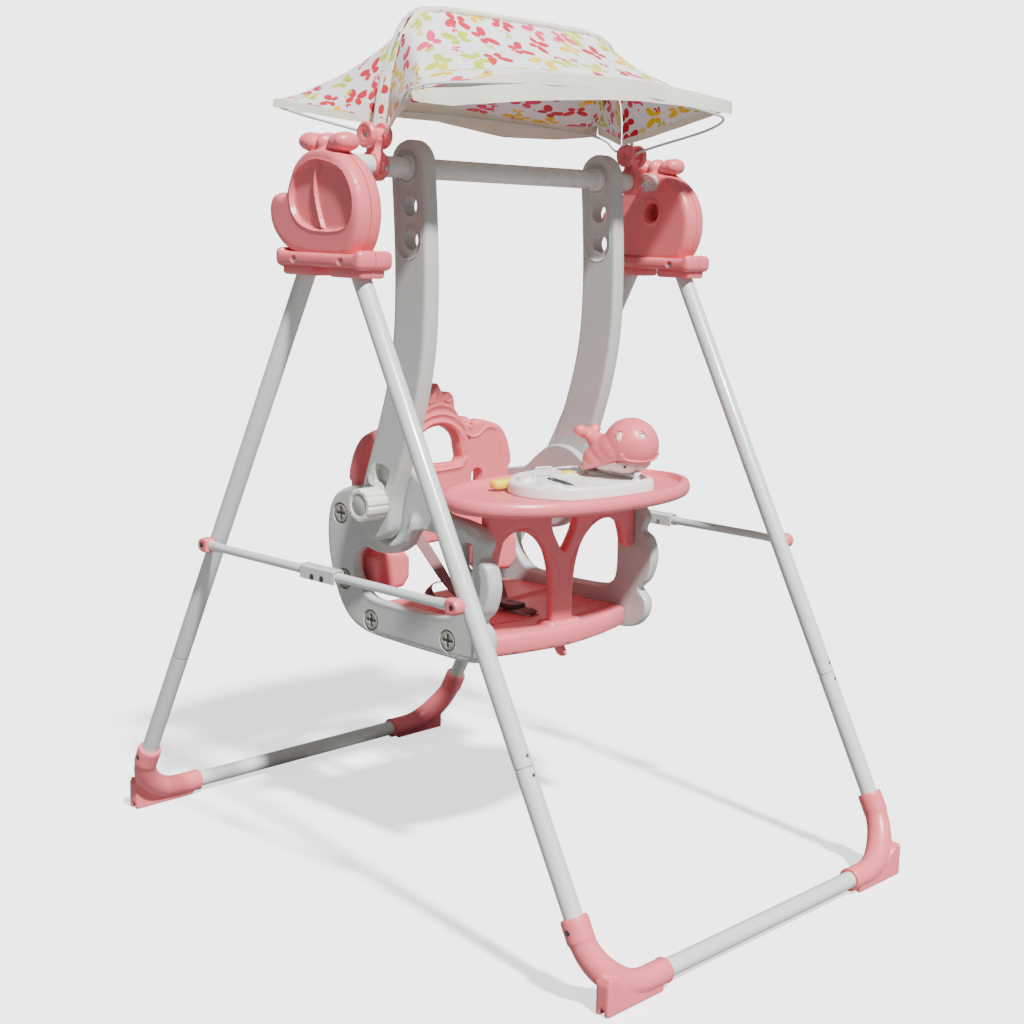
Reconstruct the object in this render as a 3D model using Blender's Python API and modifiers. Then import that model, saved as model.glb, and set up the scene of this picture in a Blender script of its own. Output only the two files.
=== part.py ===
"""Baby swing with a folding A-frame, a hanging moulded seat and a sun canopy.

Metres, +Z up, +X to the right as seen from the front, front towards -Y.
The origin is on the floor, midway between the feet, under the crossbar's axis.
"""

import math

import bpy
import bmesh
from mathutils import Matrix, Vector

# ---------------------------------------------------------------- driving sizes
BAR_Z = 1.030            # height of the crossbar's axis, which the seat swings on
BAR_R = 0.0143           # crossbar radius
TUBE_R = 0.0127          # leg and base tube radius, a 25.4 mm tube
TUBE_WALL = 0.0013
GAP = 0.0003             # gap between faces that touch
LEG_X = 0.3335           # leg centre line, each side of the middle
LEG_TILT = math.radians(28.0)
PIVOT_Y = 0.048          # leg pivot in the housing, in front of or behind the bar
PIVOT_Z = 0.901
PIN_HOLE_R = 0.0035
RAIL_Z = 0.0217          # floor rail's axis height
BEND_R = 0.085           # bend from leg to rail
JOINT_T = 0.6955         # distance from pivot to the tube joint, down the leg
STAY_Z = 0.4802          # folding stay, at rest
STAY_X = 0.3555
RIVET_Y = 0.0105         # stay hinge rivets, each side of the middle
RIVET_DROP = 0.005       # the rivets sit this far below the stay's axis
HUB_Z = 1.070            # canopy hub axis
HUB_X = 0.2625
ARM_X = (0.181, 0.207)   # swing arm, inner and outer face
PANEL_X = (0.160, 0.1798)
TRAY_Z = (0.565, 0.587)
TRAY_Y = -0.130
PAN_Z = (0.346, 0.376)
SIDES = (("left", -1), ("right", 1))

# ---------------------------------------------------------------- scene set-up
for old in list(bpy.data.objects):
    bpy.data.objects.remove(old, do_unlink=True)

PARTS = bpy.data.collections.new("baby_swing")
CUTTERS = bpy.data.collections.new("cutters")
bpy.context.scene.collection.children.link(PARTS)
bpy.context.scene.collection.children.link(CUTTERS)


def material(name, color, roughness, metallic=0.0):
    mat = bpy.data.materials.new(name)
    mat.use_nodes = True
    shader = mat.node_tree.nodes["Principled BSDF"]
    shader.inputs["Base Color"].default_value = (*color, 1.0)
    shader.inputs["Roughness"].default_value = roughness
    shader.inputs["Metallic"].default_value = metallic
    mat.diffuse_color = (*color, 1.0)
    return mat


PINK = material("pink_plastic", (0.83, 0.36, 0.36), 0.38)
GREY = material("light_grey_plastic", (0.66, 0.67, 0.65), 0.42)
CREAM_PLASTIC = material("off_white_plastic", (0.78, 0.77, 0.70), 0.40)
WHITE_STEEL = material("white_painted_steel", (0.78, 0.82, 0.79), 0.30)
CHROME = material("bright_steel", (0.62, 0.62, 0.62), 0.22, 1.0)
YELLOW = material("yellow_plastic", (0.95, 0.80, 0.18), 0.40)
WHITE = material("white_plastic", (0.86, 0.86, 0.84), 0.38)
STRAP = material("brown_webbing", (0.22, 0.11, 0.11), 0.85)
BUCKLE = material("dark_buckle_plastic", (0.05, 0.045, 0.05), 0.45)
CLOTH = material("canopy_cloth", (0.80, 0.78, 0.74), 0.80)


# ---------------------------------------------------------------- shape helpers
def move_to(obj, collection):
    for home in list(obj.users_collection):
        home.objects.unlink(obj)
    collection.objects.link(obj)
    return obj


def from_bmesh(name, bm, mat):
    mesh = bpy.data.meshes.new(name)
    bmesh.ops.recalc_face_normals(bm, faces=bm.faces)
    if bm.calc_volume(signed=True) < 0:
        bmesh.ops.reverse_faces(bm, faces=bm.faces)
    bm.to_mesh(mesh)
    bm.free()
    obj = bpy.data.objects.new(name, mesh)
    obj.data.materials.append(mat)
    PARTS.objects.link(obj)
    return obj


def curve_to_mesh(curve_obj, name, mat):
    """A welded mesh of a curve object, which is then removed."""
    bpy.context.view_layer.update()
    depsgraph = bpy.context.evaluated_depsgraph_get()
    mesh = bpy.data.meshes.new_from_object(curve_obj.evaluated_get(depsgraph))
    matrix = curve_obj.matrix_world.copy()
    bpy.data.objects.remove(curve_obj, do_unlink=True)
    bm = bmesh.new()
    bm.from_mesh(mesh)
    bmesh.ops.remove_doubles(bm, verts=bm.verts, dist=0.00001)
    bpy.data.meshes.remove(mesh)
    bm.transform(matrix)
    return from_bmesh(name, bm, mat)


def outline_plate(name, mat, outlines, low, high, axis="X", matrix=None):
    """A flat plate between low and high along an axis; outlines after the first are holes.

    Outline points are (y, z) for axis X, (x, z) for axis Y and (x, y) for axis Z."""
    curve = bpy.data.curves.new(name, "CURVE")
    curve.dimensions = "2D"
    curve.fill_mode = "BOTH"
    curve.extrude = (high - low) / 2
    for outline in outlines:
        spline = curve.splines.new("POLY")
        spline.points.add(len(outline) - 1)
        for point, (u, v) in zip(spline.points, outline):
            point.co = (u, v, 0.0, 1.0)
        spline.use_cyclic_u = True
    obj = bpy.data.objects.new(name, curve)
    PARTS.objects.link(obj)
    middle = (low + high) / 2
    if matrix is None:
        matrix = {
            "X": Matrix(((0, 0, 1, middle), (1, 0, 0, 0), (0, 1, 0, 0), (0, 0, 0, 1))),
            "Y": Matrix(((1, 0, 0, 0), (0, 0, -1, middle), (0, 1, 0, 0), (0, 0, 0, 1))),
            "Z": Matrix(((1, 0, 0, 0), (0, 1, 0, 0), (0, 0, 1, middle), (0, 0, 0, 1))),
        }[axis]
    obj.matrix_world = matrix
    return curve_to_mesh(obj, name, mat)


def side_plate(name, mat, outlines, side, near, far):
    """A plate in a plane across X, from |x| = near to |x| = far, on one side."""
    low, high = sorted((side * near, side * far))
    return outline_plate(name, mat, outlines, low, high, "X")


def wire(name, mat, points, radius, resolution=2, cyclic=False):
    """A round bar or tube along points, with filled ends."""
    curve = bpy.data.curves.new(name, "CURVE")
    curve.dimensions = "3D"
    curve.bevel_depth = radius
    curve.bevel_resolution = resolution
    curve.use_fill_caps = not cyclic
    spline = curve.splines.new("POLY")
    spline.points.add(len(points) - 1)
    for point, place in zip(spline.points, points):
        point.co = (*place, 1.0)
    spline.use_cyclic_u = cyclic
    obj = bpy.data.objects.new(name, curve)
    PARTS.objects.link(obj)
    return curve_to_mesh(obj, name, mat)


def box(name, mat, low, high):
    bm = bmesh.new()
    bmesh.ops.create_cube(bm, size=1.0)
    low, high = Vector(low), Vector(high)
    bmesh.ops.scale(bm, vec=high - low, verts=bm.verts)
    bmesh.ops.translate(bm, vec=(low + high) / 2, verts=bm.verts)
    return from_bmesh(name, bm, mat)


def side_box(name, mat, side, near, far, y_range, z_range):
    low, high = sorted((side * near, side * far))
    return box(name, mat, (low, y_range[0], z_range[0]), (high, y_range[1], z_range[1]))


def rod(name, mat, start, end, radius, segments=24, end_radius=None):
    """A round rod or cone between two points."""
    start, end = Vector(start), Vector(end)
    along = end - start
    bm = bmesh.new()
    bmesh.ops.create_cone(
        bm, cap_ends=True, segments=segments, radius1=radius,
        radius2=radius if end_radius is None else end_radius, depth=along.length,
    )
    turn = along.to_track_quat("Z", "Y").to_matrix().to_4x4()
    bm.transform(Matrix.Translation((start + end) / 2) @ turn)
    return from_bmesh(name, bm, mat)


def ball(name, mat, centre, radii, turn=None, segments=20, rings=12):
    bm = bmesh.new()
    bmesh.ops.create_uvsphere(bm, u_segments=segments, v_segments=rings, radius=1.0)
    bm.transform(Matrix.Diagonal((*radii, 1.0)))
    if turn is not None:
        bm.transform(turn)
    bm.transform(Matrix.Translation(centre))
    return from_bmesh(name, bm, mat)


def boolean(obj, others, operation):
    """Boolean modifiers whose second shapes are kept as hidden cutters."""
    for other in others:
        move_to(other, CUTTERS)
        other.hide_render = True
        other.display_type = "WIRE"
        modifier = obj.modifiers.new(operation.lower(), "BOOLEAN")
        modifier.operation = operation
        modifier.solver = "EXACT"
        modifier.object = other
    return obj


def cut(obj, *others):
    return boolean(obj, others, "DIFFERENCE")


def join(obj, *others):
    return boolean(obj, others, "UNION")


def smooth(obj, angle=35.0):
    obj.data.shade_smooth()
    obj.data.set_sharp_from_angle(angle=math.radians(angle))
    return obj


# ---------------------------------------------------------------- outline helpers
def arc(centre, radius, start, stop, steps):
    """Points on an arc, angles in degrees; radius is a number or a (u, v) pair."""
    ru, rv = radius if isinstance(radius, tuple) else (radius, radius)
    points = []
    for i in range(steps + 1):
        angle = math.radians(start + (stop - start) * i / steps)
        points.append((centre[0] + ru * math.cos(angle), centre[1] + rv * math.sin(angle)))
    return points


def circle(centre, radius, steps=20):
    return arc(centre, radius, 0, 360 - 360 / steps, steps - 1)


def flowing(points, per_span=3, closed=True):
    """A smooth curve through the points (Catmull-Rom)."""
    count = len(points)
    result = []
    spans = count if closed else count - 1
    for i in range(spans):
        p = [points[(i + k) % count] if closed else points[min(max(i + k, 0), count - 1)]
             for k in (-1, 0, 1, 2)]
        for step in range(per_span):
            t = step / per_span
            result.append(tuple(
                0.5 * (2 * b + (c - a) * t + (2 * a - 5 * b + 4 * c - d) * t * t
                       + (3 * b - a - 3 * c + d) * t ** 3)
                for a, b, c, d in zip(*p)))
    if not closed:
        result.append(tuple(points[-1]))
    return result


def rounded(corners, radius, steps=4):
    """A polygon with each corner rounded by an arc of the given radius."""
    result = []
    count = len(corners)
    for i in range(count):
        here = Vector(corners[i])
        back = (Vector(corners[i - 1]) - here).normalized()
        ahead = (Vector(corners[(i + 1) % count]) - here).normalized()
        half = math.acos(max(-1.0, min(1.0, back.dot(ahead)))) / 2
        reach = radius / math.tan(half)
        centre = here + (back + ahead).normalized() * (radius / math.sin(half))
        first = here + back * reach - centre
        last = here + ahead * reach - centre
        sweep = first.angle_signed(last)
        for k in range(steps + 1):
            result.append(tuple(centre + Matrix.Rotation(-sweep * k / steps, 2) @ first))
    return result


def inset(points, amount):
    """A closed outline moved towards its inside, for a shell's cavity or a recess."""
    count = len(points)
    turning = sum(points[i - 1][0] * points[i][1] - points[i][0] * points[i - 1][1]
                  for i in range(count))
    side = 1 if turning > 0 else -1
    result = []
    for i in range(count):
        ahead = Vector(points[(i + 1) % count]) - Vector(points[i - 1])
        normal = Vector((-ahead.y, ahead.x)).normalized() * side
        result.append(tuple(Vector(points[i]) + normal * amount))
    return result


# ---------------------------------------------------------------- body pivots
def pivot(name, place):
    empty = bpy.data.objects.new(name, None)
    empty.location = place
    empty.empty_display_size = 0.05
    PARTS.objects.link(empty)
    return empty


def ride(empty, *objects):
    """Parent pieces to a pivot without moving them."""
    for obj in objects:
        obj.parent = empty
        obj.matrix_parent_inverse = Matrix.Translation(-empty.location)


# ---------------------------------------------------------------- A-frame legs
def leg_point(fore, t, x=0.0):
    """A point t down the leg's centre line from its pivot; fore is -1 front, +1 rear."""
    return Vector((x, fore * (PIVOT_Y + t * math.sin(LEG_TILT)), PIVOT_Z - t * math.cos(LEG_TILT)))


CORNER_T = (PIVOT_Z - RAIL_Z) / math.cos(LEG_TILT)


def bend_path(fore, side, start_t, end_x, steps=8):
    """Down one leg from start_t, round the bend and along the rail to |x| = end_x."""
    path = [leg_point(fore, start_t, side * LEG_X)]
    for angle in range(steps + 1):
        turn = math.pi / 2 * angle / steps
        x = LEG_X - BEND_R + BEND_R * math.cos(turn)
        t = CORNER_T - BEND_R + BEND_R * math.sin(turn)
        path.append(leg_point(fore, t, side * x))
    path.append(leg_point(fore, CORNER_T, side * end_x))
    return path


def upper_leg(name, fore, side):
    start, end = -0.032, JOINT_T - GAP
    top = leg_point(fore, start, side * LEG_X)
    bottom = leg_point(fore, end, side * LEG_X)
    turn = (bottom - top).to_track_quat("Z", "Y").to_matrix().to_4x4()
    tube = outline_plate(
        name, WHITE_STEEL, [circle((0, 0), TUBE_R, 24), circle((0, 0), TUBE_R - TUBE_WALL, 24)],
        0, end - start, matrix=Matrix.Translation((top + bottom) / 2) @ turn)
    pin = leg_point(fore, 0, side * LEG_X)
    across = Vector((0.03, 0, 0))
    cut(tube, rod(name + "_pin_hole", CHROME, pin - across, pin + across, PIN_HOLE_R, 12))
    return smooth(tube)


def base_tube(name, fore):
    left = bend_path(fore, -1, JOINT_T, 0.0)[:-1]
    right = bend_path(fore, 1, JOINT_T, 0.0)[:-1]
    tube = wire(name, WHITE_STEEL, left + right[::-1], TUBE_R, 4)
    for side in (-1, 1):
        spigot = rod(name + "_spigot", WHITE_STEEL, leg_point(fore, JOINT_T - 0.055, side * LEG_X),
                     leg_point(fore, JOINT_T + 0.012, side * LEG_X), TUBE_R - TUBE_WALL - 0.0005, 16)
        join(tube, spigot)
    left = bend_path(fore, -1, JOINT_T - 0.07, 0.0)[:-1]
    right = bend_path(fore, 1, JOINT_T - 0.07, 0.0)[:-1]
    return smooth(cut(tube, wire(name + "_bore", WHITE_STEEL, left + right[::-1], 0.0095, 2)))


def foot_shell(name, fore, side):
    """An elbow shell round the bend, with a flange that stands on the floor."""
    start_t, end_x = CORNER_T - 0.106, LEG_X - 0.120
    shell = wire(name, PINK, bend_path(fore, side, start_t, end_x), TUBE_R + 0.0042, 3)
    profile = [(0.334, 0.0), (0.334, 0.046), (0.326, 0.052), (0.300, 0.032), (0.262, 0.017),
               (0.225, 0.012), (0.225, 0.0)]
    rear, front = sorted((fore * 0.505, fore * 0.529))
    flange = outline_plate(name + "_flange", PINK, [[(side * x, z) for x, z in profile]],
                           rear, front, "Y")
    join(shell, flange)
    cut(shell, wire(name + "_tube_hole", PINK,
                    bend_path(fore, side, start_t - 0.02, end_x - 0.02), TUBE_R + 0.0004, 4))
    return smooth(shell)


for label, fore in (("front", -1), ("rear", 1)):
    empty = pivot(f"{label}_leg_pivot", (0, fore * PIVOT_Y, PIVOT_Z))
    ride(empty, base_tube(f"{label}_base_tube", fore))
    for hand, side in SIDES:
        ride(empty, upper_leg(f"{hand}_{label}_leg", fore, side),
             foot_shell(f"{hand}_{label}_foot", fore, side))

# ---------------------------------------------------------------- top housings and crossbar
HOUSING_X = (0.313, 0.3348, 0.3352, 0.357)   # inner face, split line, outer face
HOUSING_WALL = 0.0035
BASE_Y, BASE_Z = 0.087, (0.892, 0.917)       # base bar, half its length and its height
SKIRT_Y, SKIRT_Z = (0.016, 0.081), (0.8835, 0.8945)
BODY = flowing([(0.006, 1.050), (0.034, 1.044), (0.057, 1.027), (0.070, 1.005), (0.079, 0.986),
                (0.092, 0.991), (0.105, 0.986), (0.112, 0.970), (0.107, 0.948), (0.094, 0.931),
                (0.076, 0.918), (0.050, 0.909), (0.0, 0.906), (-0.050, 0.909), (-0.068, 0.925),
                (-0.079, 0.950), (-0.080, 0.978), (-0.070, 1.006), (-0.052, 1.028),
                (-0.026, 1.044)], 2)
BOW = flowing([(0.006, 1.069), (0.014, 1.066), (0.026, 1.070), (0.044, 1.068), (0.052, 1.056),
               (0.045, 1.044), (0.025, 1.041), (0.006, 1.038), (-0.013, 1.041), (-0.033, 1.044),
               (-0.040, 1.056), (-0.032, 1.068), (-0.014, 1.070), (-0.002, 1.066)], 2)
RECESS = flowing([(0.006, 1.034), (0.040, 1.020), (0.058, 1.000), (0.062, 0.982), (0.055, 0.965),
                  (0.040, 0.952), (0.015, 0.944), (-0.030, 0.943), (-0.052, 0.949),
                  (-0.065, 0.965), (-0.066, 0.985), (-0.056, 1.007), (-0.032, 1.026)], 2)


def housing_half(name, side, outer):
    """One moulded shell of a top housing; all its shapes are trimmed at the split line."""
    split = HOUSING_X[2] if outer else HOUSING_X[1]
    face = HOUSING_X[3] if outer else HOUSING_X[0]
    sign = 1 if outer else -1

    def block(depth, past):
        """A shape's two |x| limits, from past the split line to a depth short of the face."""
        return split - sign * past, face - sign * depth

    shell = side_plate(name, PINK, [BODY], side, *block(0.0, 0.004))
    base = block(-0.006 if outer else -0.009, 0.005)
    join(shell, side_plate(name + "_bow", PINK, [BOW], side, *block(0.0017, 0.003)),
         side_box(name + "_base", PINK, side, *base, (-BASE_Y, BASE_Y), BASE_Z))
    for fore in (-1, 1):
        y_range = sorted(fore * y for y in SKIRT_Y)
        join(shell, side_box(name + "_skirt", PINK, side, *block(0.0013, 0.006), y_range, SKIRT_Z))
    cut(shell, side_plate(name + "_cavity", PINK, [inset(BODY, HOUSING_WALL)], side,
                          *block(0.0060 if outer else 0.0030, 0.007)))
    for fore in (-1, 1):
        y_range = sorted((fore * 0.027, fore * 0.073))
        cut(shell, side_box(name + "_leg_slot", PINK, side, LEG_X - 0.0135, LEG_X + 0.0135,
                            y_range, (0.87, 0.93)))
        pin = (fore * PIVOT_Y, PIVOT_Z)
        cut(shell, side_plate(name + "_pin_hole", PINK, [circle(pin, PIN_HOLE_R, 12)], side, 0.29, 0.38))
    if outer:
        cut(shell, side_plate(name + "_recess", PINK, [RECESS], side, face - 0.003, face + 0.01))
    else:
        cut(shell, side_plate(name + "_bar_hole", PINK, [circle((0, BAR_Z), BAR_R + 0.0004, 24)],
                              side, face - 0.01, split + 0.01),
            side_plate(name + "_window", PINK, [circle((-0.002, 0.985), (0.0135, 0.0145), 16)],
                       side, face - 0.01, split + 0.01))
    return cut(shell, side_box(name + "_trim", PINK, side, split, split - sign * 0.03,
                               (-0.2, 0.2), (0.8, 1.2)))


for hand, side in SIDES:
    housing_half(f"{hand}_housing_outer", side, True)
    housing_half(f"{hand}_housing_inner", side, False)
    for label, fore in (("front", -1), ("rear", 1)):
        smooth(rod(f"{hand}_{label}_leg_pin", CHROME, (side * 0.3065, fore * PIVOT_Y, PIVOT_Z),
                   (side * 0.3605, fore * PIVOT_Y, PIVOT_Z), 0.0031, 12))

smooth(outline_plate("crossbar", WHITE_STEEL, [circle((0, BAR_Z), BAR_R, 28),
                                               circle((0, BAR_Z), BAR_R - 0.0016, 28)],
                     -0.3500, 0.3500))


# ---------------------------------------------------------------- folding side stays
BRACKET_HALF = 0.037     # stay centre bracket, half its length
END_Y = 0.2692           # stay's screw, on the leg


def stay(hand, side):
    """Two bars, a centre bracket with two rivets, and a moulded bracket at each leg."""
    inner, outer = STAY_X - 0.0086, STAY_X + 0.0086
    bracket = side_box(f"{hand}_stay_hinge", WHITE_STEEL, side, inner, outer,
                       (-BRACKET_HALF, BRACKET_HALF), (STAY_Z - 0.0100, STAY_Z + 0.0105))
    cut(bracket, side_box(f"{hand}_stay_channel", WHITE_STEEL, side, STAY_X - 0.0068,
                          STAY_X + 0.0068, (-0.05, 0.05), (STAY_Z - 0.02, STAY_Z + 0.0088)))
    bars = []
    for label, fore in (("front", -1), ("rear", 1)):
        rivet = (fore * RIVET_Y, STAY_Z - RIVET_DROP)
        join(bracket, side_plate(f"{hand}_{label}_rivet", WHITE_STEEL, [circle(rivet, 0.0025, 12)],
                                 side, inner + 0.0005, outer - 0.0005))
        inside, outside = RIVET_Y - 0.0050, END_Y - 0.0115
        flat = [(RIVET_Y - 0.0050, -0.0085), (0.042, -0.0085), (0.058, -0.0060),
                (0.238, -0.0060), (outside, -0.0080), (outside, 0.0080), (0.238, 0.0060),
                (0.058, 0.0060), (0.042, 0.0070), (inside, 0.0070)]
        outline = [(fore * y, STAY_Z + z) for y, z in flat]
        bar = side_plate(f"{hand}_stay_{label}_bar", WHITE_STEEL, [outline, circle(rivet, 0.0029, 12)],
                         side, STAY_X - 0.0062, STAY_X + 0.0062)
        end = [(END_Y - 0.0112, -0.0110), (END_Y - 0.0112, 0.0110)]
        end += arc((END_Y, 0.0), 0.0110, 90, -90, 8)
        cap = side_plate(f"{hand}_stay_{label}_bracket", PINK,
                         [[(fore * y, STAY_Z + z) for y, z in end]], side, 0.3466, 0.3646)
        bars.append((label, fore, bar, cap))
    front = pivot(f"{hand}_stay_front_pivot", (side * STAY_X, -END_Y, STAY_Z))
    hinge = pivot(f"{hand}_stay_hinge_pivot", (side * STAY_X, -RIVET_Y, STAY_Z - RIVET_DROP))
    rear = pivot(f"{hand}_stay_rear_pivot", (side * STAY_X, RIVET_Y, STAY_Z - RIVET_DROP))
    ride(front, bars[0][2], bars[0][3])
    ride(hinge, bracket)
    ride(rear, bars[1][2], bars[1][3])


for hand, side in SIDES:
    stay(hand, side)

# ---------------------------------------------------------------- canopy clamps, bows and cloth
BOW_LANES = {"front": HUB_X - 0.0055, "middle": HUB_X, "rear": HUB_X + 0.0055}
WIRE_R = 0.0021
MIDDLE_WIRE_R = 0.0027
RING_X = (0.2530, 0.2720)        # clamp ring, along the bar
FIXED_DISC_X = (0.2440, 0.2535)  # hub disc that is one with the clamp
CAP_X = (0.2715, 0.2810)         # hub cap, screwed on from outside


def canopy_clamp(hand, side):
    """A split ring on the crossbar, a neck, a barrel and the hub's fixed disc."""
    clamp = side_plate(f"{hand}_canopy_clamp", PINK,
                       [circle((0, BAR_Z), 0.0205, 24), circle((0, BAR_Z), BAR_R + GAP, 24)],
                       side, *RING_X)
    neck = [(-0.010, 1.0475), (0.010, 1.0475), (0.010, HUB_Z - 0.006), (-0.010, HUB_Z - 0.006)]
    barrel = circle((0, HUB_Z), 0.0105, 16)
    disc = circle((0, HUB_Z), 0.0180, 24)
    join(clamp, side_plate(f"{hand}_neck", PINK, [neck], side, RING_X[0] + 0.001, RING_X[1] - 0.002),
         side_plate(f"{hand}_barrel", PINK, [barrel], side, FIXED_DISC_X[0] + 0.0005, CAP_X[0] - GAP),
         side_plate(f"{hand}_fixed_disc", PINK, [disc], side, *FIXED_DISC_X))
    cap = side_plate(f"{hand}_hub_cap", PINK, [disc], side, *CAP_X)
    return smooth(clamp), smooth(cap)


def bow_wire(name, half_path, radius):
    """A wire bow from its right half path, which ends in the middle, and its mirror image."""
    left = [(-x, y, z) for x, y, z in half_path[:-1]]
    return smooth(wire(name, WHITE_STEEL, left + half_path[::-1], radius, 2), 60)


def eave_bow(label, fore, reach, corner, top):
    """Front or rear bow: out from the hub to a round corner, then across in a low arch."""
    rise = corner - HUB_Z
    knots = [(BOW_LANES[label], fore * 0.0125, HUB_Z + 0.0030),
             (0.268, fore * 0.040, HUB_Z + 0.22 * rise),
             (0.303, fore * (reach - 0.050), HUB_Z + 0.57 * rise),
             (0.316, fore * (reach - 0.022), HUB_Z + 0.78 * rise),
             (0.306, fore * (reach - 0.003), HUB_Z + 0.92 * rise),
             (0.270, fore * (reach + 0.006), corner),
             (0.150, fore * (reach + 0.015), corner * 0.4 + top * 0.6),
             (0.0, fore * (reach + 0.020), top)]
    return bow_wire(f"{label}_bow", flowing(knots, 3, closed=False), WIRE_R)


MIDDLE_KNOTS = [(HUB_X, 0, HUB_Z + 0.0125), (0.257, 0, 1.120), (0.243, 0, 1.165),
                (0.228, 0, 1.200), (0.212, 0, 1.225), (0.188, 0, 1.2405), (0.160, 0, 1.2452),
                (0.080, 0, 1.2455), (0.0, 0, 1.2455)]
FRONT_REACH, REAR_REACH = 0.150, 0.137
FRONT_TOP, REAR_TOP = 1.148, 1.118           # eave bows, in the middle
FRONT_CORNER, REAR_CORNER = 1.133, 1.110     # eave bows, past their round corners
EAVE_X = 0.322                               # corner of the cloth

for hand, side in SIDES:
    canopy_clamp(hand, side)
bow_wire("middle_bow", flowing(MIDDLE_KNOTS, 2, closed=False), MIDDLE_WIRE_R)
ride(pivot("front_bow_pivot", (0, 0, HUB_Z)),
     eave_bow("front", -1, FRONT_REACH, FRONT_CORNER, FRONT_TOP))
ride(pivot("rear_bow_pivot", (0, 0, HUB_Z)),
     eave_bow("rear", 1, REAR_REACH, REAR_CORNER, REAR_TOP))


def canopy_half(name, fore, reach, corner, top):
    """Half of the cloth, as a thin shell from the middle bow out over one eave bow."""
    columns, rows = 24, 5
    arch = flowing([(0.2430, 1.1000), (0.2370, 1.1400), (0.2205, 1.1920), (0.2040, 1.2170),
                    (0.1800, 1.2310), (0.1500, 1.2360), (0.0700, 1.2370), (0.0, 1.2370)],
                   4, closed=False)
    lengths = [0.0]
    for a, b in zip(arch, arch[1:]):
        lengths.append(lengths[-1] + math.dist(a, b))

    def on_arch(s):
        want = (1 - abs(s)) * lengths[-1]
        k = min(range(len(lengths) - 1), key=lambda i: abs((lengths[i] + lengths[i + 1]) / 2 - want))
        f = (want - lengths[k]) / (lengths[k + 1] - lengths[k])
        x = arch[k][0] + f * (arch[k + 1][0] - arch[k][0])
        z = arch[k][1] + f * (arch[k + 1][1] - arch[k][1])
        return Vector((math.copysign(x, s) if s else 0.0, fore * 0.0012, z))

    def on_eave(s):
        x = EAVE_X * math.copysign(min(abs(s) * 1.05, 1.0), s)
        rise = 1 - abs(s) ** 2.4
        low, high = corner + 0.005, top + 0.014
        return Vector((x, fore * (reach + 0.010 + 0.016 * rise), low + (high - low) * rise))

    bm = bmesh.new()
    grid = []
    for j in range(rows + 2):
        row = []
        for i in range(columns + 1):
            s = 2 * i / columns - 1
            if j <= rows:
                v = j / rows
                point = on_arch(s).lerp(on_eave(s), v)
                point.z -= 0.010 * math.sin(math.pi * v) * (1 - abs(s) ** 6)
            else:
                point = on_eave(s) + Vector((0, fore * 0.001, -0.026))
            row.append(bm.verts.new(point))
        grid.append(row)
    for j in range(rows + 1):
        for i in range(columns):
            bm.faces.new((grid[j][i], grid[j][i + 1], grid[j + 1][i + 1], grid[j + 1][i]))
    cloth = from_bmesh(name, bm, CLOTH)
    solidify = cloth.modifiers.new("thickness", "SOLIDIFY")
    solidify.thickness = 0.0016
    solidify.offset = 0.0
    return smooth(cloth, 50)


canopy_half("canopy_front", -1, FRONT_REACH, FRONT_CORNER, FRONT_TOP)
canopy_half("canopy_rear", 1, REAR_REACH, REAR_CORNER, REAR_TOP)

# ---------------------------------------------------------------- swing arms and bushes
SWING = pivot("swing_pivot", (0, 0, BAR_Z))
ARM_HALF = 0.0345
ARM_LINE = flowing([(0.0, 1.034), (-0.006, 0.955), (-0.009, 0.875), (-0.006, 0.795),
                    (0.007, 0.725), (0.029, 0.655), (0.046, 0.610), (0.060, 0.570),
                    (0.066, 0.533)], 3, closed=False)


def arm_outline(half):
    """The arm's outline: two offset sides of its centre line and two round ends."""
    rear, front = [], []
    for i, here in enumerate(ARM_LINE):
        ahead = Vector(ARM_LINE[min(i + 1, len(ARM_LINE) - 1)]) - Vector(ARM_LINE[max(i - 1, 0)])
        normal = Vector((-ahead.y, ahead.x)).normalized() * half
        rear.append(tuple(Vector(here) + normal))
        front.append(tuple(Vector(here) - normal))
    top = arc(ARM_LINE[0], half, 180, 0, 12)[1:-1]
    bottom = arc(ARM_LINE[-1], half, 0, -180, 12)[1:-1]
    return rear + bottom + front[::-1] + top


ARM_HOLES = [(-0.006, 0.979), (-0.009, 0.933)]
KNOB = (0.055, 0.556)


def swing_arm(hand, side):
    arm = side_plate(f"{hand}_swing_arm", GREY,
                     [arm_outline(ARM_HALF), circle((0, BAR_Z), 0.0167, 24),
                      circle(ARM_HOLES[0], 0.0145, 20), circle(ARM_HOLES[1], 0.0145, 20),
                      circle(KNOB, 0.0052, 12)], side, *ARM_X)
    bush = side_plate(f"{hand}_bush", WHITE,
                      [circle((0, BAR_Z), 0.0164, 24), circle((0, BAR_Z), BAR_R + GAP, 24)],
                      side, 0.1720, 0.2065)
    grip = []
    for i in range(40):
        angle = 2 * math.pi * i / 40
        radius = 0.0240 if i % 5 < 3 else 0.0220
        grip.append((KNOB[0] + radius * math.cos(angle), KNOB[1] + radius * math.sin(angle)))
    knob = side_plate(f"{hand}_knob", CREAM_PLASTIC, [grip], side, ARM_X[1] + 0.0005, 0.2455)
    join(knob, side_plate(f"{hand}_knob_stud", CREAM_PLASTIC, [circle(KNOB, 0.0048, 12)], side,
                          ARM_X[0] + 0.004, ARM_X[1] + 0.006))
    ride(SWING, arm, bush)
    ride(pivot(f"{hand}_knob_pivot", (side * 0.226, *KNOB)), knob)
    smooth(arm)
    smooth(bush)
    smooth(knob)


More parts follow.
